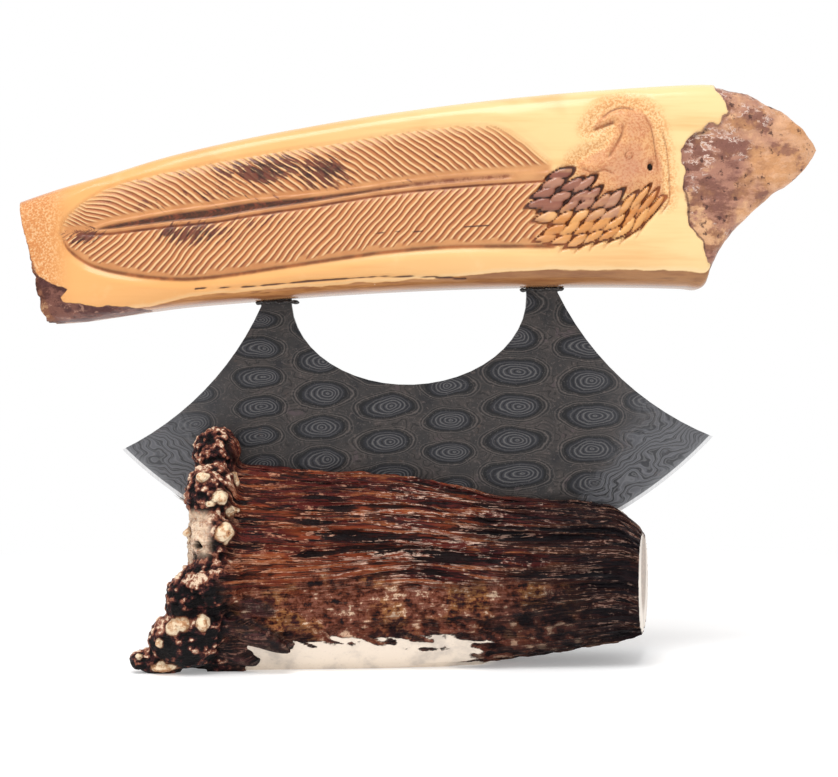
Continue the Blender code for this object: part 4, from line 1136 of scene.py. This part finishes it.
# Place along the beam, its top, bottom and width, as shares of its length, height and width.
beam_shares = [
    (0.00, 0.935, -0.170, 1.00),
    (0.10, 0.915, -0.145, 0.98),
    (0.22, 0.890, -0.115, 0.94),
    (0.34, 0.877, -0.085, 0.90),
    (0.43, 0.858, -0.060, 0.87),
    (0.52, 0.815, -0.035, 0.84),
    (0.61, 0.770, 0.000, 0.81),
    (0.72, 0.748, 0.030, 0.78),
    (0.80, 0.737, 0.060, 0.76),
    (0.86, 0.714, 0.085, 0.75),
    (0.90, 0.650, 0.105, 0.73),
    (0.94, 0.560, 0.135, 0.70),
    (1.00, 0.480, 0.160, 0.66),
]

# Heights of the main ridges along the beam, one after another round it.
ridge_shares = (1.0, 0.5, 0.8, 0.35, 1.1, 0.6, 0.9, 0.4)

# Lobes of the burr: place across it, degrees from the top towards the front, distance out, and half
# sizes across, round and out, as shares of its radius.
burr_shares = [
    (0.75, 17, 0.88, 0.22, 0.25, 0.24),
    (0.75, 50, 0.80, 0.24, 0.27, 0.26),
    (1.08, 74, 0.85, 0.10, 0.10, 0.12),
    (0.80, 78, 0.78, 0.20, 0.24, 0.20),
    (0.80, 104, 0.84, 0.30, 0.24, 0.26),
    (0.35, 112, 0.86, 0.18, 0.22, 0.24),
    (0.35, 133, 0.97, 0.33, 0.27, 0.26),
    (-0.08, 143, 1.08, 0.22, 0.15, 0.15),
    (-0.42, 140, 1.10, 0.10, 0.08, 0.10),
    (0.60, 126, 0.88, 0.28, 0.26, 0.28),
    (0.60, 160, 0.80, 0.27, 0.34, 0.32),
    (0.65, 192, 0.76, 0.25, 0.34, 0.30),
    (0.50, 222, 0.88, 0.31, 0.34, 0.31),
    (0.65, 250, 0.84, 0.30, 0.30, 0.31),
    (0.50, 276, 0.82, 0.28, 0.32, 0.29),
    (0.75, 302, 0.82, 0.27, 0.30, 0.31),
    (0.65, 324, 0.82, 0.25, 0.26, 0.29),
    (0.78, 344, 0.84, 0.24, 0.26, 0.25),
]

# Pale knobs on the burr, smoothed by wear: place and half sizes in millimetres.
pale_knobs = [
    (-51.8, -23.8, 48.4, 1.6, 1.7, 1.2),
    (-43.6, -23.5, 48.2, 1.3, 1.7, 2.4),
    (-47.3, -26.0, 43.4, 2.0, 2.0, 1.7),
    (-49.6, -25.6, 42.0, 1.3, 1.3, 0.9),
    (-44.8, -26.4, 40.4, 1.8, 1.8, 1.2),
    (-45.7, -27.0, 34.9, 2.2, 2.1, 2.6),
    (-55.4, -22.8, 34.6, 1.6, 1.7, 1.3),
    (-57.0, -21.0, 32.4, 1.0, 1.3, 0.9),
    (-58.4, -29.9, 12.4, 1.9, 1.8, 1.8),
    (-55.9, -29.9, 13.3, 1.9, 1.8, 1.7),
    (-51.2, -29.6, 13.5, 1.6, 1.6, 1.9),
    (-61.5, -30.2, 8.5, 1.4, 1.4, 1.3),
    (-60.5, -29.2, 2.6, 3.1, 2.3, 1.4),
    (-66.9, -28.6, 5.4, 1.0, 1.1, 1.0),
]

# Roots of the burr that run down the beam over its sanded side: start and end in millimetres, and
# thickness.
roots = [
    ((-52, -23.9, 15.1), (-30.0, -23.9, 5.4), 2.7),
    ((-40, -24.2, 10.2), (-31.5, -23.6, 6.0), 2.2),
    ((-58, -20.8, 13.4), (-40, -20.8, 1.7), 2.6),
    ((-50, -24.6, 20.6), (-36, -24.9, 15.6), 1.7),
    ((-52, 21.8, 13.4), (-32.8, 21.8, 4.5), 2.8),
]

# Painted shade: the dark gap between the burr and the roots, where shade falls, seen from the front, in
# millimetres.
root_ground = [(-52, 17.6), (-40.5, 15.1), (-31.2, 8.2), (-32.0, 5.3), (-40.0, 1.0), (-52.0, 1.0)]

# Small dark hole in the shed face, seen from the front, in millimetres.
SHED_HOLE = (-53.3, 31.8)
SHED_HOLE_RADIUS = 1.30


def beam_sections(places):
    """Centre height, half height and half width of the beam at places along it."""
    rows = through(beam_shares, places)
    x = BEAM_LEFT + rows[:, 0] * BEAM_LENGTH
    middle = (rows[:, 1] + rows[:, 2]) / 2 * BEAM_HEIGHT
    half_height = (rows[:, 1] - rows[:, 2]) / 2 * BEAM_HEIGHT
    return x, middle, half_height, rows[:, 3] / 2 * BEAM_WIDTH


def main_ridges(angle):
    """Height of the main ridges at angles round the beam, from about -1 to 1."""
    side = angle / (2 * pi) * BEAM_SIDES % BEAM_SIDES
    low = np.floor(side).astype(int)
    heights = [ridge_shares[i // 2 % len(ridge_shares)] * (-1) ** i for i in range(BEAM_SIDES)]
    table = np.array(heights + heights[:1])
    return table[low] + (table[low + 1] - table[low]) * (side - low)


def signed_power(value, power):
    return np.sign(value) * np.abs(value) ** power


def beam_core(name):
    """The beam as a ridged bar, before its furrows are cut."""
    places = np.linspace(0, 1, 80)
    x, middle, half_height, half_width = beam_sections(places)
    angle = np.linspace(0, 2 * pi, 4 * BEAM_SIDES, endpoint=False)
    across = signed_power(np.cos(angle), 2 / BEAM_ROUNDING)
    up = signed_power(np.sin(angle), 2 / BEAM_ROUNDING)
    swell = SWELL_HEIGHT * np.sin(SWELL_COUNT * angle + SWELL_TWIST * places[:, None])
    ridge = (RIDGE_HEIGHT * main_ridges(angle) + swell) / 2
    skin = np.zeros((len(x), len(angle), 3))
    skin[..., 0] = x[:, None]
    skin[..., 1] = (half_width[:, None] + ridge) * across
    skin[..., 2] = middle[:, None] + (half_height[:, None] + ridge) * up
    return add_skin(name, skin, {})


def add_lump(shape, centre, halves, turn=None):
    """Adds an egg of the given half sizes, turned and moved to its place."""
    made = bmesh.ops.create_icosphere(shape, subdivisions=4, radius=1.0)
    bmesh.ops.scale(shape, vec=halves, verts=made["verts"])
    if turn:
        bmesh.ops.transform(shape, matrix=turn, verts=made["verts"])
    bmesh.ops.translate(shape, vec=centre, verts=made["verts"])


def seated_knobs(shape):
    """The knobs in millimetres, each moved along the line of sight until it sits on the burr."""
    burr = BVHTree.FromBMesh(shape)
    eye = Vector(CAMERA_PLACE)
    knobs = []
    for x, y, z, *halves in pale_knobs:
        spot = Vector((x, y, z)) * MM
        sight = (spot - eye).normalized()
        seat = burr.ray_cast(eye, sight)[0] or burr.find_nearest(spot)[0]
        knobs.append((*((seat + sight * halves[1] * MM * 0.25) / MM), *halves))
    return knobs


def antler_body():
    """Beam, burr, roots and knobs melted into one skin whose faces are longer along the beam."""
    body = beam_core("antler_stand_skin")
    shape = bmesh.new()
    shape.from_mesh(body.data)
    middle = (BURR_X + BURR_WIDTH / 3, 0, BURR_CENTRE_HEIGHT)
    add_lump(shape, middle, (BURR_CORE_HALF_WIDTH, BURR_RADIUS * 0.86, BURR_RADIUS * 0.90))
    for across, degrees, out, *halves in burr_shares:
        angle = radians(degrees)
        centre = (BURR_X + (across - 0.5) * BURR_WIDTH, -sin(angle) * out * BURR_RADIUS,
                  BURR_CENTRE_HEIGHT + cos(angle) * out * BURR_RADIUS)
        add_lump(shape, centre, [h * BURR_RADIUS * 0.99 for h in halves], Matrix.Rotation(angle, 4, "X"))
    knobs = seated_knobs(shape)
    for x, y, z, *halves in knobs:
        add_lump(shape, (x * MM, y * MM, z * MM), [h * MM for h in halves])
    for start, end, thick in roots:
        first, last = Vector(start) * MM, Vector(end) * MM
        run = last - first
        turn = run.to_track_quat("X", "Z").to_matrix().to_4x4()
        add_lump(shape, (first + last) / 2, (run.length / 2, thick * MM, thick * MM), turn)
    bmesh.ops.scale(shape, vec=(ANTLER_SQUEEZE, 1, 1), verts=shape.verts)
    shape.to_mesh(body.data)
    shape.free()
    baked_mesh(body, ANTLER_VOXEL)
    body.data.transform(Matrix.Diagonal((1 / ANTLER_SQUEEZE, 1, 1, 1)))
    return body, knobs


def pearls(points, size, seed):
    """Rounded bumps about size across, 1 at their tops and 0 in the gaps between them."""
    scaled = points / size
    cell = np.floor(scaled)
    best = np.full(len(points), 9.0)
    for step in product((-1, 0, 1), repeat=3):
        near = cell + np.array(step)
        spot = near + np.stack([random_at(near, seed + k) for k in range(3)], -1)
        best = np.minimum(best, ((scaled - spot) ** 2).sum(-1))
    return np.clip(1 - best / 0.50, 0, 1)


def ranked(values, among):
    """The share of the chosen values that lie below each value."""
    steps = np.linspace(0, 1, 60)
    return np.interp(values, np.quantile(values[among], steps), steps)


def weather_antler(mesh, knobs):
    """Cuts furrows into the beam and crumbs into the burr, sands the front foot flat; returns paints."""
    points, normals = points_of(mesh)
    real = points / MM
    x, y, z = real.T
    sections = beam_sections(np.linspace(0, 1, 200))
    middle, half_height, half_width = (np.interp(points[:, 0], sections[0], s) / MM for s in sections[1:])
    upward = signed_power((z - middle) / half_height, BEAM_ROUNDING / 2)
    main = main_ridges(np.arctan2(upward, signed_power(y / half_width, BEAM_ROUNDING / 2)))
    round_it = np.arctan2(y, z - middle) * 24
    flat = spots(x, round_it)
    drift = rough(flat, (40, 12, 9), 2, 101)
    laid = spots(x, round_it + 1.4 * drift)
    sharp = 1 - np.abs(grain(laid, (24, 1.5, 9), 111)) * 2.0
    thin = 1 - np.abs(grain(laid, (9, 0.9, 9), 121)) * 2.0
    broken = rough(flat, (5, 1.8, 9), 3, 141)
    furrow = 0.50 * sharp + 0.28 * thin + 0.22 * broken

    low_front = ease(-8.0, 2.0, x + 52) * (1 - ease(44, 56, x + 0.6 * z)) * (y < 0)
    height_share = (z - middle) / half_height
    border = height_share + 0.10 * rough(flat, (12, 6, 9), 2, 181) - 0.001 * x
    grainy = (1 - ease(-0.10, 0.16, border)) * low_front
    behind = ease(0.1, 0.7, rough(flat, (30, 14, 9), 1, 182)) * 0.6 * (y > 0)
    grainy = np.maximum(grainy, behind)
    slanted = spots(x * 0.55 + round_it * 0.83, x * 0.83 - round_it * 0.55)
    slash = 1 - np.abs(grain(slanted, (1.5, 6.0, 9), 186)) * 2.0
    slash_band = grainy * (y < 0) * (1 - ease(9.0, 17.0, z - 0.10 * x))
    granule = 0.45 * pearls(real * [0.5, 1, 1], 1.0, 201) + 0.40 * furrow
    granule += 0.45 * rough(real, (2.4, 1.5, 1.5), 2, 211)
    granule = granule * (1 - 0.6 * slash_band) + 0.45 * slash * slash_band
    bark = furrow * (1 - 0.85 * grainy) + granule * 0.85 * grainy

    burr = 1 - ease(-47.0, -42.5, x + 1.2 * rough(real, (4, 4, 4), 2, 191))
    bent = real + np.stack([grain(real, (3, 3, 3), s) for s in (155, 156, 157)], -1) * 0.8
    fold = 1 - np.abs(grain(bent, (2.6, 2.6, 2.6), 171)) * 1.8
    crumbs = 0.38 * pearls(bent, 3.1, 151) + 0.34 * pearls(real, 1.35, 161) + 0.30 * fold
    root_and_shade_mask = np.zeros_like(x)
    root_skin = np.full_like(x, 9.0)
    for start, end, thick in roots:
        run = np.subtract(end, start)
        t = ((real - start) @ run) / (run @ run)
        away = np.linalg.norm(real - start - t[:, None] * run, axis=1)
        root_skin = np.minimum(root_skin, np.hypot(2 * t - 1, away / thick))
        away = np.linalg.norm(real - start - np.clip(t, 0, 1)[:, None] * run, axis=1)
        root_and_shade_mask = np.maximum(root_and_shade_mask, 1 - ease(thick * 0.8, thick * 1.6, away))
    # Painted shade: the gap between the burr and the roots is given the roots' dark paint, standing in for
    # the shade there.
    shade = inside_distance(root_ground, x, z) + 0.8 * rough(real, (4, 4, 4), 2, 241)
    root_and_shade_mask = np.maximum(root_and_shade_mask, ease(-0.6, 0.8, shade) * ease(-8, -12, y) * (1 - burr))
    knob = np.zeros_like(x)
    for *spot, half_x, half_y, half_z in knobs:
        away = np.linalg.norm((real - spot) / np.array([half_x, half_y, half_z]), axis=1)
        knob = np.maximum(knob, 1 - ease(0.90, 1.40, away + 0.16 * rough(real, (1.6, 1.6, 1.6), 2, 231)))

    raised = (bark - 0.85) * FURROW_DEPTH * (1 - 0.35 * grainy) * (1 - burr) * (1 - 0.75 * root_and_shade_mask)
    raised *= ease(1.25, 1.90, root_skin)
    raised += (crumbs - 0.78) * CRUMB_HEIGHT * burr * (1 - knob) - 0.10 * MM
    raised += (0.36 * rough(real, (2.4, 2.4, 2.4), 2, 221) - 0.05) * MM * knob
    hole = np.where(y < -12, np.hypot(x - SHED_HOLE[0], z - SHED_HOLE[1]), 9.0)
    raised -= 2.2 * MM * (1 - ease(SHED_HOLE_RADIUS * 0.5, SHED_HOLE_RADIUS, hole))
    left, right = np.array([*FACET_LEFT, 0]), np.array([*FACET_RIGHT, 0])
    run = (right - left) / np.linalg.norm(right - left)
    outward = np.array([run[1] * cos(FACET_LEAN), -run[0] * cos(FACET_LEAN), -sin(FACET_LEAN)])
    near_facet = ease(-3.0, 0.0, (points - left) @ outward / MM)
    points = points + normals * (raised - 0.6 * near_facet * (raised + 0.5 * MM))[:, None]
    beyond = (points - left) @ outward
    sanded = np.where((points - left) @ run > 0, beyond, -3 * MM) - 1.7 * MM * ease(10, 30, x)
    teeth = rough(slanted, (1.7, 5.5, 9), 3, 251) * ease(2.5, 5.0, z) * (1 - ease(-6, 14, x) * 0.6)
    flush = ease(-1.3, -0.6, sanded / MM + teeth) * ease(1.04, 1.50, root_skin)
    toe = (x > -12) & (x < 24) & (y < 0) & (z < 2.6 - 0.07 * (x + 12))
    sanded = np.where(toe, np.maximum(sanded, 0), sanded)
    move_points(mesh, points - outward * (sanded * flush)[:, None])
    # This height rank becomes painted shade and highlight in the finish: low places are painted darker, high
    # places paler.
    furrow_rank = ranked(0.85 * furrow + 0.15 * main, burr < 0.2)
    grain_rank = ranked(granule, (grainy > 0.5) & (burr < 0.2))
    height = furrow_rank + (grain_rank - furrow_rank) * grainy
    # Painted light on the burr: the rank rises where a lobe faces up, so lobe tops are painted lighter and
    # undersides darker.
    height = height * (1 - burr) + ranked(crumbs + 0.22 * normals[:, 2], burr > 0.8) * burr
    shed = (1 - ease(16.5, 20.5, np.hypot(y, z - 28.5))) * (1 - ease(-53.5, -51.5, x))
    shed_side = (1 - ease(-51.5, -48.5, x)) * ease(28.5, 30.5, z) * (1 - ease(38.5, 40.5, z)) * (y < 0)
    bare = np.minimum(sanded / MM + teeth, 1) - 3 * ease(1.50, 1.04, root_skin)
    return {
        "height": height, "burr": burr, "knob": knob, "grainy": grainy, "root_and_shade": root_and_shade_mask,
        "slash": slash_band, "shed": np.clip(np.maximum(shed, shed_side), 0, 1),
        "shed_hole": 1 - ease(SHED_HOLE_RADIUS * 0.75, SHED_HOLE_RADIUS * 1.05, hole),
        "round_it": round_it + 1.4 * drift, "sanded": np.clip(bare, -3, 3),
    }


def saw_off(shape, place, outward):
    """Cuts away what lies beyond a plane and closes the cut with the sawn finish."""
    everything = shape.verts[:] + shape.edges[:] + shape.faces[:]
    cut = bmesh.ops.bisect_plane(shape, geom=everything, plane_co=place, plane_no=outward, clear_outer=True)
    rim = [e for e in cut["geom_cut"] if isinstance(e, bmesh.types.BMEdge)]
    closed = bmesh.ops.holes_fill(shape, edges=rim, sides=0)
    for face in closed["faces"]:
        face.material_index = 1
        face.smooth = False
    for edge in rim:
        if edge.is_valid:
            edge.smooth = False


def sawn_part(mesh, *cuts):
    """What is left of a closed mesh after cuts, each a point on its plane and the way it faces."""
    shape = bmesh.new()
    shape.from_mesh(mesh)
    for place, outward in cuts:
        saw_off(shape, place, outward)
    return shape


def slit_antler(mesh):
    """Slits the stand for the blade: two cheeks, and between them a web cut down by the round saw."""
    half = KERF_WIDTH / 2
    front = sawn_part(mesh, ((0, -half, 0), (0, 1, 0)))
    back = sawn_part(mesh, ((0, half, 0), (0, -1, 0)))
    web = sawn_part(mesh, ((0, -half, 0), (0, -1, 0)), ((0, half, 0), (0, 1, 0)))
    for vert in web.verts:
        out = Vector((vert.co.x - KNIFE_CENTRE.x, 0, vert.co.z - KNIFE_CENTRE.z))
        if out.length < KERF_RADIUS:
            vert.co += out.normalized() * (KERF_RADIUS - out.length)
            for face in vert.link_faces:
                face.material_index = 1
    whole = bmesh.new()
    for shape in (front, back, web):
        shape.to_mesh(mesh)
        shape.free()
        whole.from_mesh(mesh)
    whole.to_mesh(mesh)
    whole.free()


def furrowed_antler():
    """Antler bark: black furrows, partly painted shade; mahogany sides; orange and pale crests, partly wear
    and partly painted highlight; pale knobs with painted shade round them.
    """
    f = Finish("furrowed_antler")
    place = f.place()
    x = f.split(place)[0]
    height = f.value("height")
    round_it = f.value("round_it")
    ridge = f.noise(f.joined(x * 46.0, round_it * 0.80), 1.0, 4.0, 0.62)
    strand = f.noise(f.joined(x * 150.0, round_it * 2.6), 1.0, 3.0, 0.65)
    specks = f.noise(place, 1500.0, 2.0, 0.6)
    bits = f.noise(place, 520.0, 4.0, 0.7)
    clouds = f.noise(f.joined(x * 24.0, round_it * 0.17), 1.0, 3.0, 0.6)
    patches = f.noise(place, 80.0, 3.0, 0.6)

    # Painted light on the furrows: tone follows the carved height, so the near-black low down is partly the
    # bark's own colour and partly painted shade, and the orange high up is partly painted highlight.
    tone = height * 0.45 + ridge.sway(1.5) + strand.sway(1.1) + 0.27
    base = f.coats(
        f.mix(f.ease(0.46, 0.56, clouds), "5A1E18", "883C20"),
        (f.ease(0.40, 0.30, clouds) * 0.7, "2C1824"),
        (f.ease(0.44, 0.26, tone) * 0.95, "090406"),
        (f.ease(0.62, 0.80, tone) * 0.6, "B0683C"),
    )
    # Painted shadow: a dark line just below each crest line, on its shaded side.
    wander = ridge + strand.sway(0.16) + specks.sway(0.05)
    under = abs(wander - 0.485)
    base = f.mix(f.ease(0.040, 0.016, under) * 0.8, base, "0C0508")
    # Pale crest lines: partly wear on the ridges and partly painted highlight; glint adds further painted
    # highlights where the tone is highest.
    over = abs(wander - 0.535)
    wear_and_glint = f.ease(0.42, 0.58, bits + clouds.sway(0.6))
    dark_end = f.ease(0.004, 0.040, x + clouds.sway(0.10))
    crest = f.ease(0.026, 0.010, over) * wear_and_glint * (1 - dark_end * 0.45)
    wear_and_glint_colour = f.mix(f.ease(-0.034, 0.004, x + clouds.sway(0.06)), "CC9274", "EAC8B4")
    base = f.mix(crest * 0.9, base, wear_and_glint_colour)
    glint = f.ease(0.86, 0.98, tone + specks.sway(0.4))
    base = f.mix(glint * 0.8, base, "D8A88C")

    # Granules and slashes: dark where low and pale on their tips, partly their own colour and partly painted
    # shade and painted highlight.
    grain_tone = height * 0.45 + bits.sway(1.6) + strand.sway(0.9) + specks.sway(0.5) + 0.29
    grains = f.coats(
        f.mix(f.ease(0.18, 0.42, grain_tone), "14070B", "642E1A"),
        (f.ease(0.42, 0.60, grain_tone), f.mix(f.ease(0.44, 0.56, patches), "B07440", "8A5240")),
        (f.ease(0.72, 0.92, grain_tone), "F6D4B4"),
        (f.ease(0.50, 0.36, patches) * 0.5, "2C161F"),
    )
    slash_tone = height + bits.sway(1.1)
    slashes = f.coats(
        f.mix(f.ease(0.30, 0.60, slash_tone), "14080D", "70382A"),
        (f.ease(0.78, 0.98, slash_tone), "E0B698"),
    )
    grains = f.mix(f.value("slash") * 0.75, grains, slashes)
    base = f.coats(
        base,
        (f.value("grainy") * 0.90, grains),
        (dark_end * 0.90 * (1.0 - f.most(crest, glint * 0.6)), "07040A"),
    )

    # Burr: near-black in the gaps and pale on the tips of the crumbs, partly their own colour and partly
    # painted shade and painted highlight; the height paint also lightens lobe tops as painted light.
    grit = f.noise(place, 950.0, 3.0, 0.65)
    crumb_tone = height * 0.95 + grit.sway(1.3) + bits.sway(0.5) + patches.sway(0.7)
    crumbs = f.coats(
        f.mix(f.ease(0.34, 0.62, crumb_tone), "070305", "40191A"),
        (f.ease(0.60, 0.82, crumb_tone), "9C604A"),
        (f.ease(0.84, 1.02, crumb_tone), "FADCBE"),
    )
    base = f.mix(f.value("burr"), base, crumbs)
    # The roots' dark colour, also used as painted shade over the gap beside them, with a painted highlight
    # along the crests.
    root_and_shade = f.coats(
        f.mix(f.ease(0.45, 0.80, tone), "0B0509", "3A1A20"),
        (crest * 0.45, "A87868"),
    )
    base = f.mix(f.value("root_and_shade") * 0.9, base, root_and_shade)
    shed = f.coats(
        f.mix(f.ease(0.36, 0.56, bits), "C49478", "F6D8BA"),
        (f.ease(0.50, 0.62, specks) * 0.6, "FAE6D0"),
    )
    base = f.mix(f.value("shed") * f.ease(0.05, 0.30, patches + (height - 0.4) * 0.4), base, shed)
    # Pale knobs smoothed by wear, each ringed in brown that is painted shade at its sides.
    knob_wear_and_shade = f.value("knob") + bits.sway(0.5)
    knob = f.coats(
        f.mix(f.ease(0.42, 0.62, bits), "F8E0BE", "C08C62"),
        (f.ease(0.62, 0.72, bits), "7A4A34"),
    )
    base = f.coats(
        base,
        (f.ease(0.06, 0.32, knob_wear_and_shade), "7A4C38"),
        (f.ease(0.30, 0.56, knob_wear_and_shade), knob),
        (f.value("shed_hole"), "0C0605"),
    )
    sanded = f.ease(-0.62, -0.40, f.value("sanded") + bits.sway(0.9))
    bone = f.coats(
        f.mix(f.ease(0.44, 0.66, f.noise(place, 120.0, 4.0, 0.6)), "F0E2D2", "D2C6BA"),
        (f.ease(0.60, 0.74, specks) * 0.25, "B8A898"),
    )
    base = f.mix(sanded, base, bone)
    roughness = 0.46 + specks.sway(0.3) - f.ease(0.60, 0.80, tone) * 0.12
    smooth = 1.0 - f.most(sanded, f.value("knob"), f.value("root_and_shade") * 0.5)
    normal = f.bump((ridge * 2.0 + strand * 1.1 + bits * 0.9) * smooth, 0.0008, 1.0)
    return f.done(Base_Color=base, Roughness=roughness, Normal=normal, Specular_IOR_Level=0.16)


def sawn_antler():
    """Sanded antler: cream bone, mottled grey, with a porous core."""
    f = Finish("sawn_antler")
    place = f.place()
    clouds = f.noise(place, 120.0, 4.0, 0.6)
    specks = f.noise(place, 1500.0, 3.0, 0.7)
    base = f.coats(
        f.mix(f.ease(0.42, 0.66, clouds), "F6EADC", "DCD0C4"),
        (f.ease(0.60, 0.72, specks) * 0.2, "B8A898"),
    )
    x, y, z = f.split(place)
    z = z - CORE_HEIGHT
    core = f.maths("SQRT", y * y * 1.2 + z * z)
    pith = f.ease(0.0125, 0.0085, core + clouds.sway(0.004))
    pores = f.mix(f.ease(0.45, 0.58, specks), "6E5240", "B99F86")
    base = f.mix(pith * 0.85 * f.ease(0.050, 0.054, x), base, pores)
    return f.done(Base_Color=base, Roughness=0.42 + specks.sway(0.2), Normal=f.bump(specks, 0.0002, 0.4))


stand, knobs = antler_body()
paint_points(stand.data, weather_antler(stand.data, knobs))
stand.data.shade_smooth()
stand.data.materials.append(furrowed_antler())
stand.data.materials.append(sawn_antler())
end_cut = ((END_CUT_X, 0, 0), (cos(END_CUT_ANGLE), -sin(END_CUT_ANGLE), 0))
floor_cut = ((0, 0, 0), (0, 0, -1))
whole_stand = sawn_part(stand.data, end_cut, floor_cut)
whole_stand.to_mesh(stand.data)
whole_stand.free()
slit_antler(stand.data)
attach(stand, "stand")
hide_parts("antler_stand")

# Floor, light and background
# A white table and backdrop under one large soft lamp. Away from the shadows the table is seen as
# plain white paper.

FLOOR_SIZE = 6.0
SHADOW_REACH = 0.16
WHITE_FROM = 0.34
ROOM_LIGHT = 0.72
LAMP_SIZE = 0.60
LAMP_WATTS = 8.0
LAMP_PLACE = (-0.16, -0.50, 1.05)
LAMP_AIM = (0, 0, 0.10)


def white_paper():
    """Matte white near the object, and pure white to the eye further off."""
    f = Finish("white_paper")
    f.done(
        Base_Color=(0.86, 0.86, 0.86, 1), Roughness=0.9,
        Emission_Color=(1, 1, 1, 1), Emission_Strength=0.25)
    x, y, _ = f.split(f.place())
    far = f.ease(SHADOW_REACH, WHITE_FROM, f.maths("SQRT", x * x + y * y))
    plain = f.node("ShaderNodeEmission", {}, {"Color": (1, 1, 1, 1), "Strength": 1.0})
    lit = Paint(f, f.shader.outputs[0])
    seen = f.node("ShaderNodeMixShader", {}, {0: far * f.seen_white(), 1: lit, 2: plain})
    f.set(f.tree.nodes["Material Output"].inputs[0], seen)
    return f.material


half_floor = FLOOR_SIZE / 2
floor_corners = [(x * half_floor, y * half_floor, 0) for x, y in ((-1, -1), (1, -1), (1, 1), (-1, 1))]
floor_mesh = bpy.data.meshes.new("floor")
floor_mesh.from_pydata(floor_corners, [], [(0, 1, 2, 3)])
floor_mesh.materials.append(white_paper())
floor = put_in_scene("floor", floor_mesh)

world = bpy.data.worlds.new("studio")
bpy.context.scene.world = world
world.use_nodes = True
room = Nodes(world.node_tree)
soft_light = world.node_tree.nodes["Background"]
room.set(soft_light.inputs["Color"], (1, 1, 1, 1))
room.set(soft_light.inputs["Strength"], ROOM_LIGHT)
white = room.node("ShaderNodeBackground", {}, {"Color": (1, 1, 1, 1), "Strength": 1.0})
walls = {0: room.seen_white(), 1: Paint(room, soft_light.outputs[0]), 2: white}
room.set(world.node_tree.nodes["World Output"].inputs[0], room.node("ShaderNodeMixShader", {}, walls))

lamp_data = bpy.data.lights.new("key_lamp", "AREA")
lamp_data.size = LAMP_SIZE
lamp_data.energy = LAMP_WATTS
lamp = put_in_scene("key_lamp", lamp_data)
lamp.location = LAMP_PLACE
lamp.rotation_euler = (Vector(LAMP_AIM) - Vector(LAMP_PLACE)).to_track_quat("-Z", "Y").to_euler()
bpy.context.scene.view_settings.view_transform = "Standard"
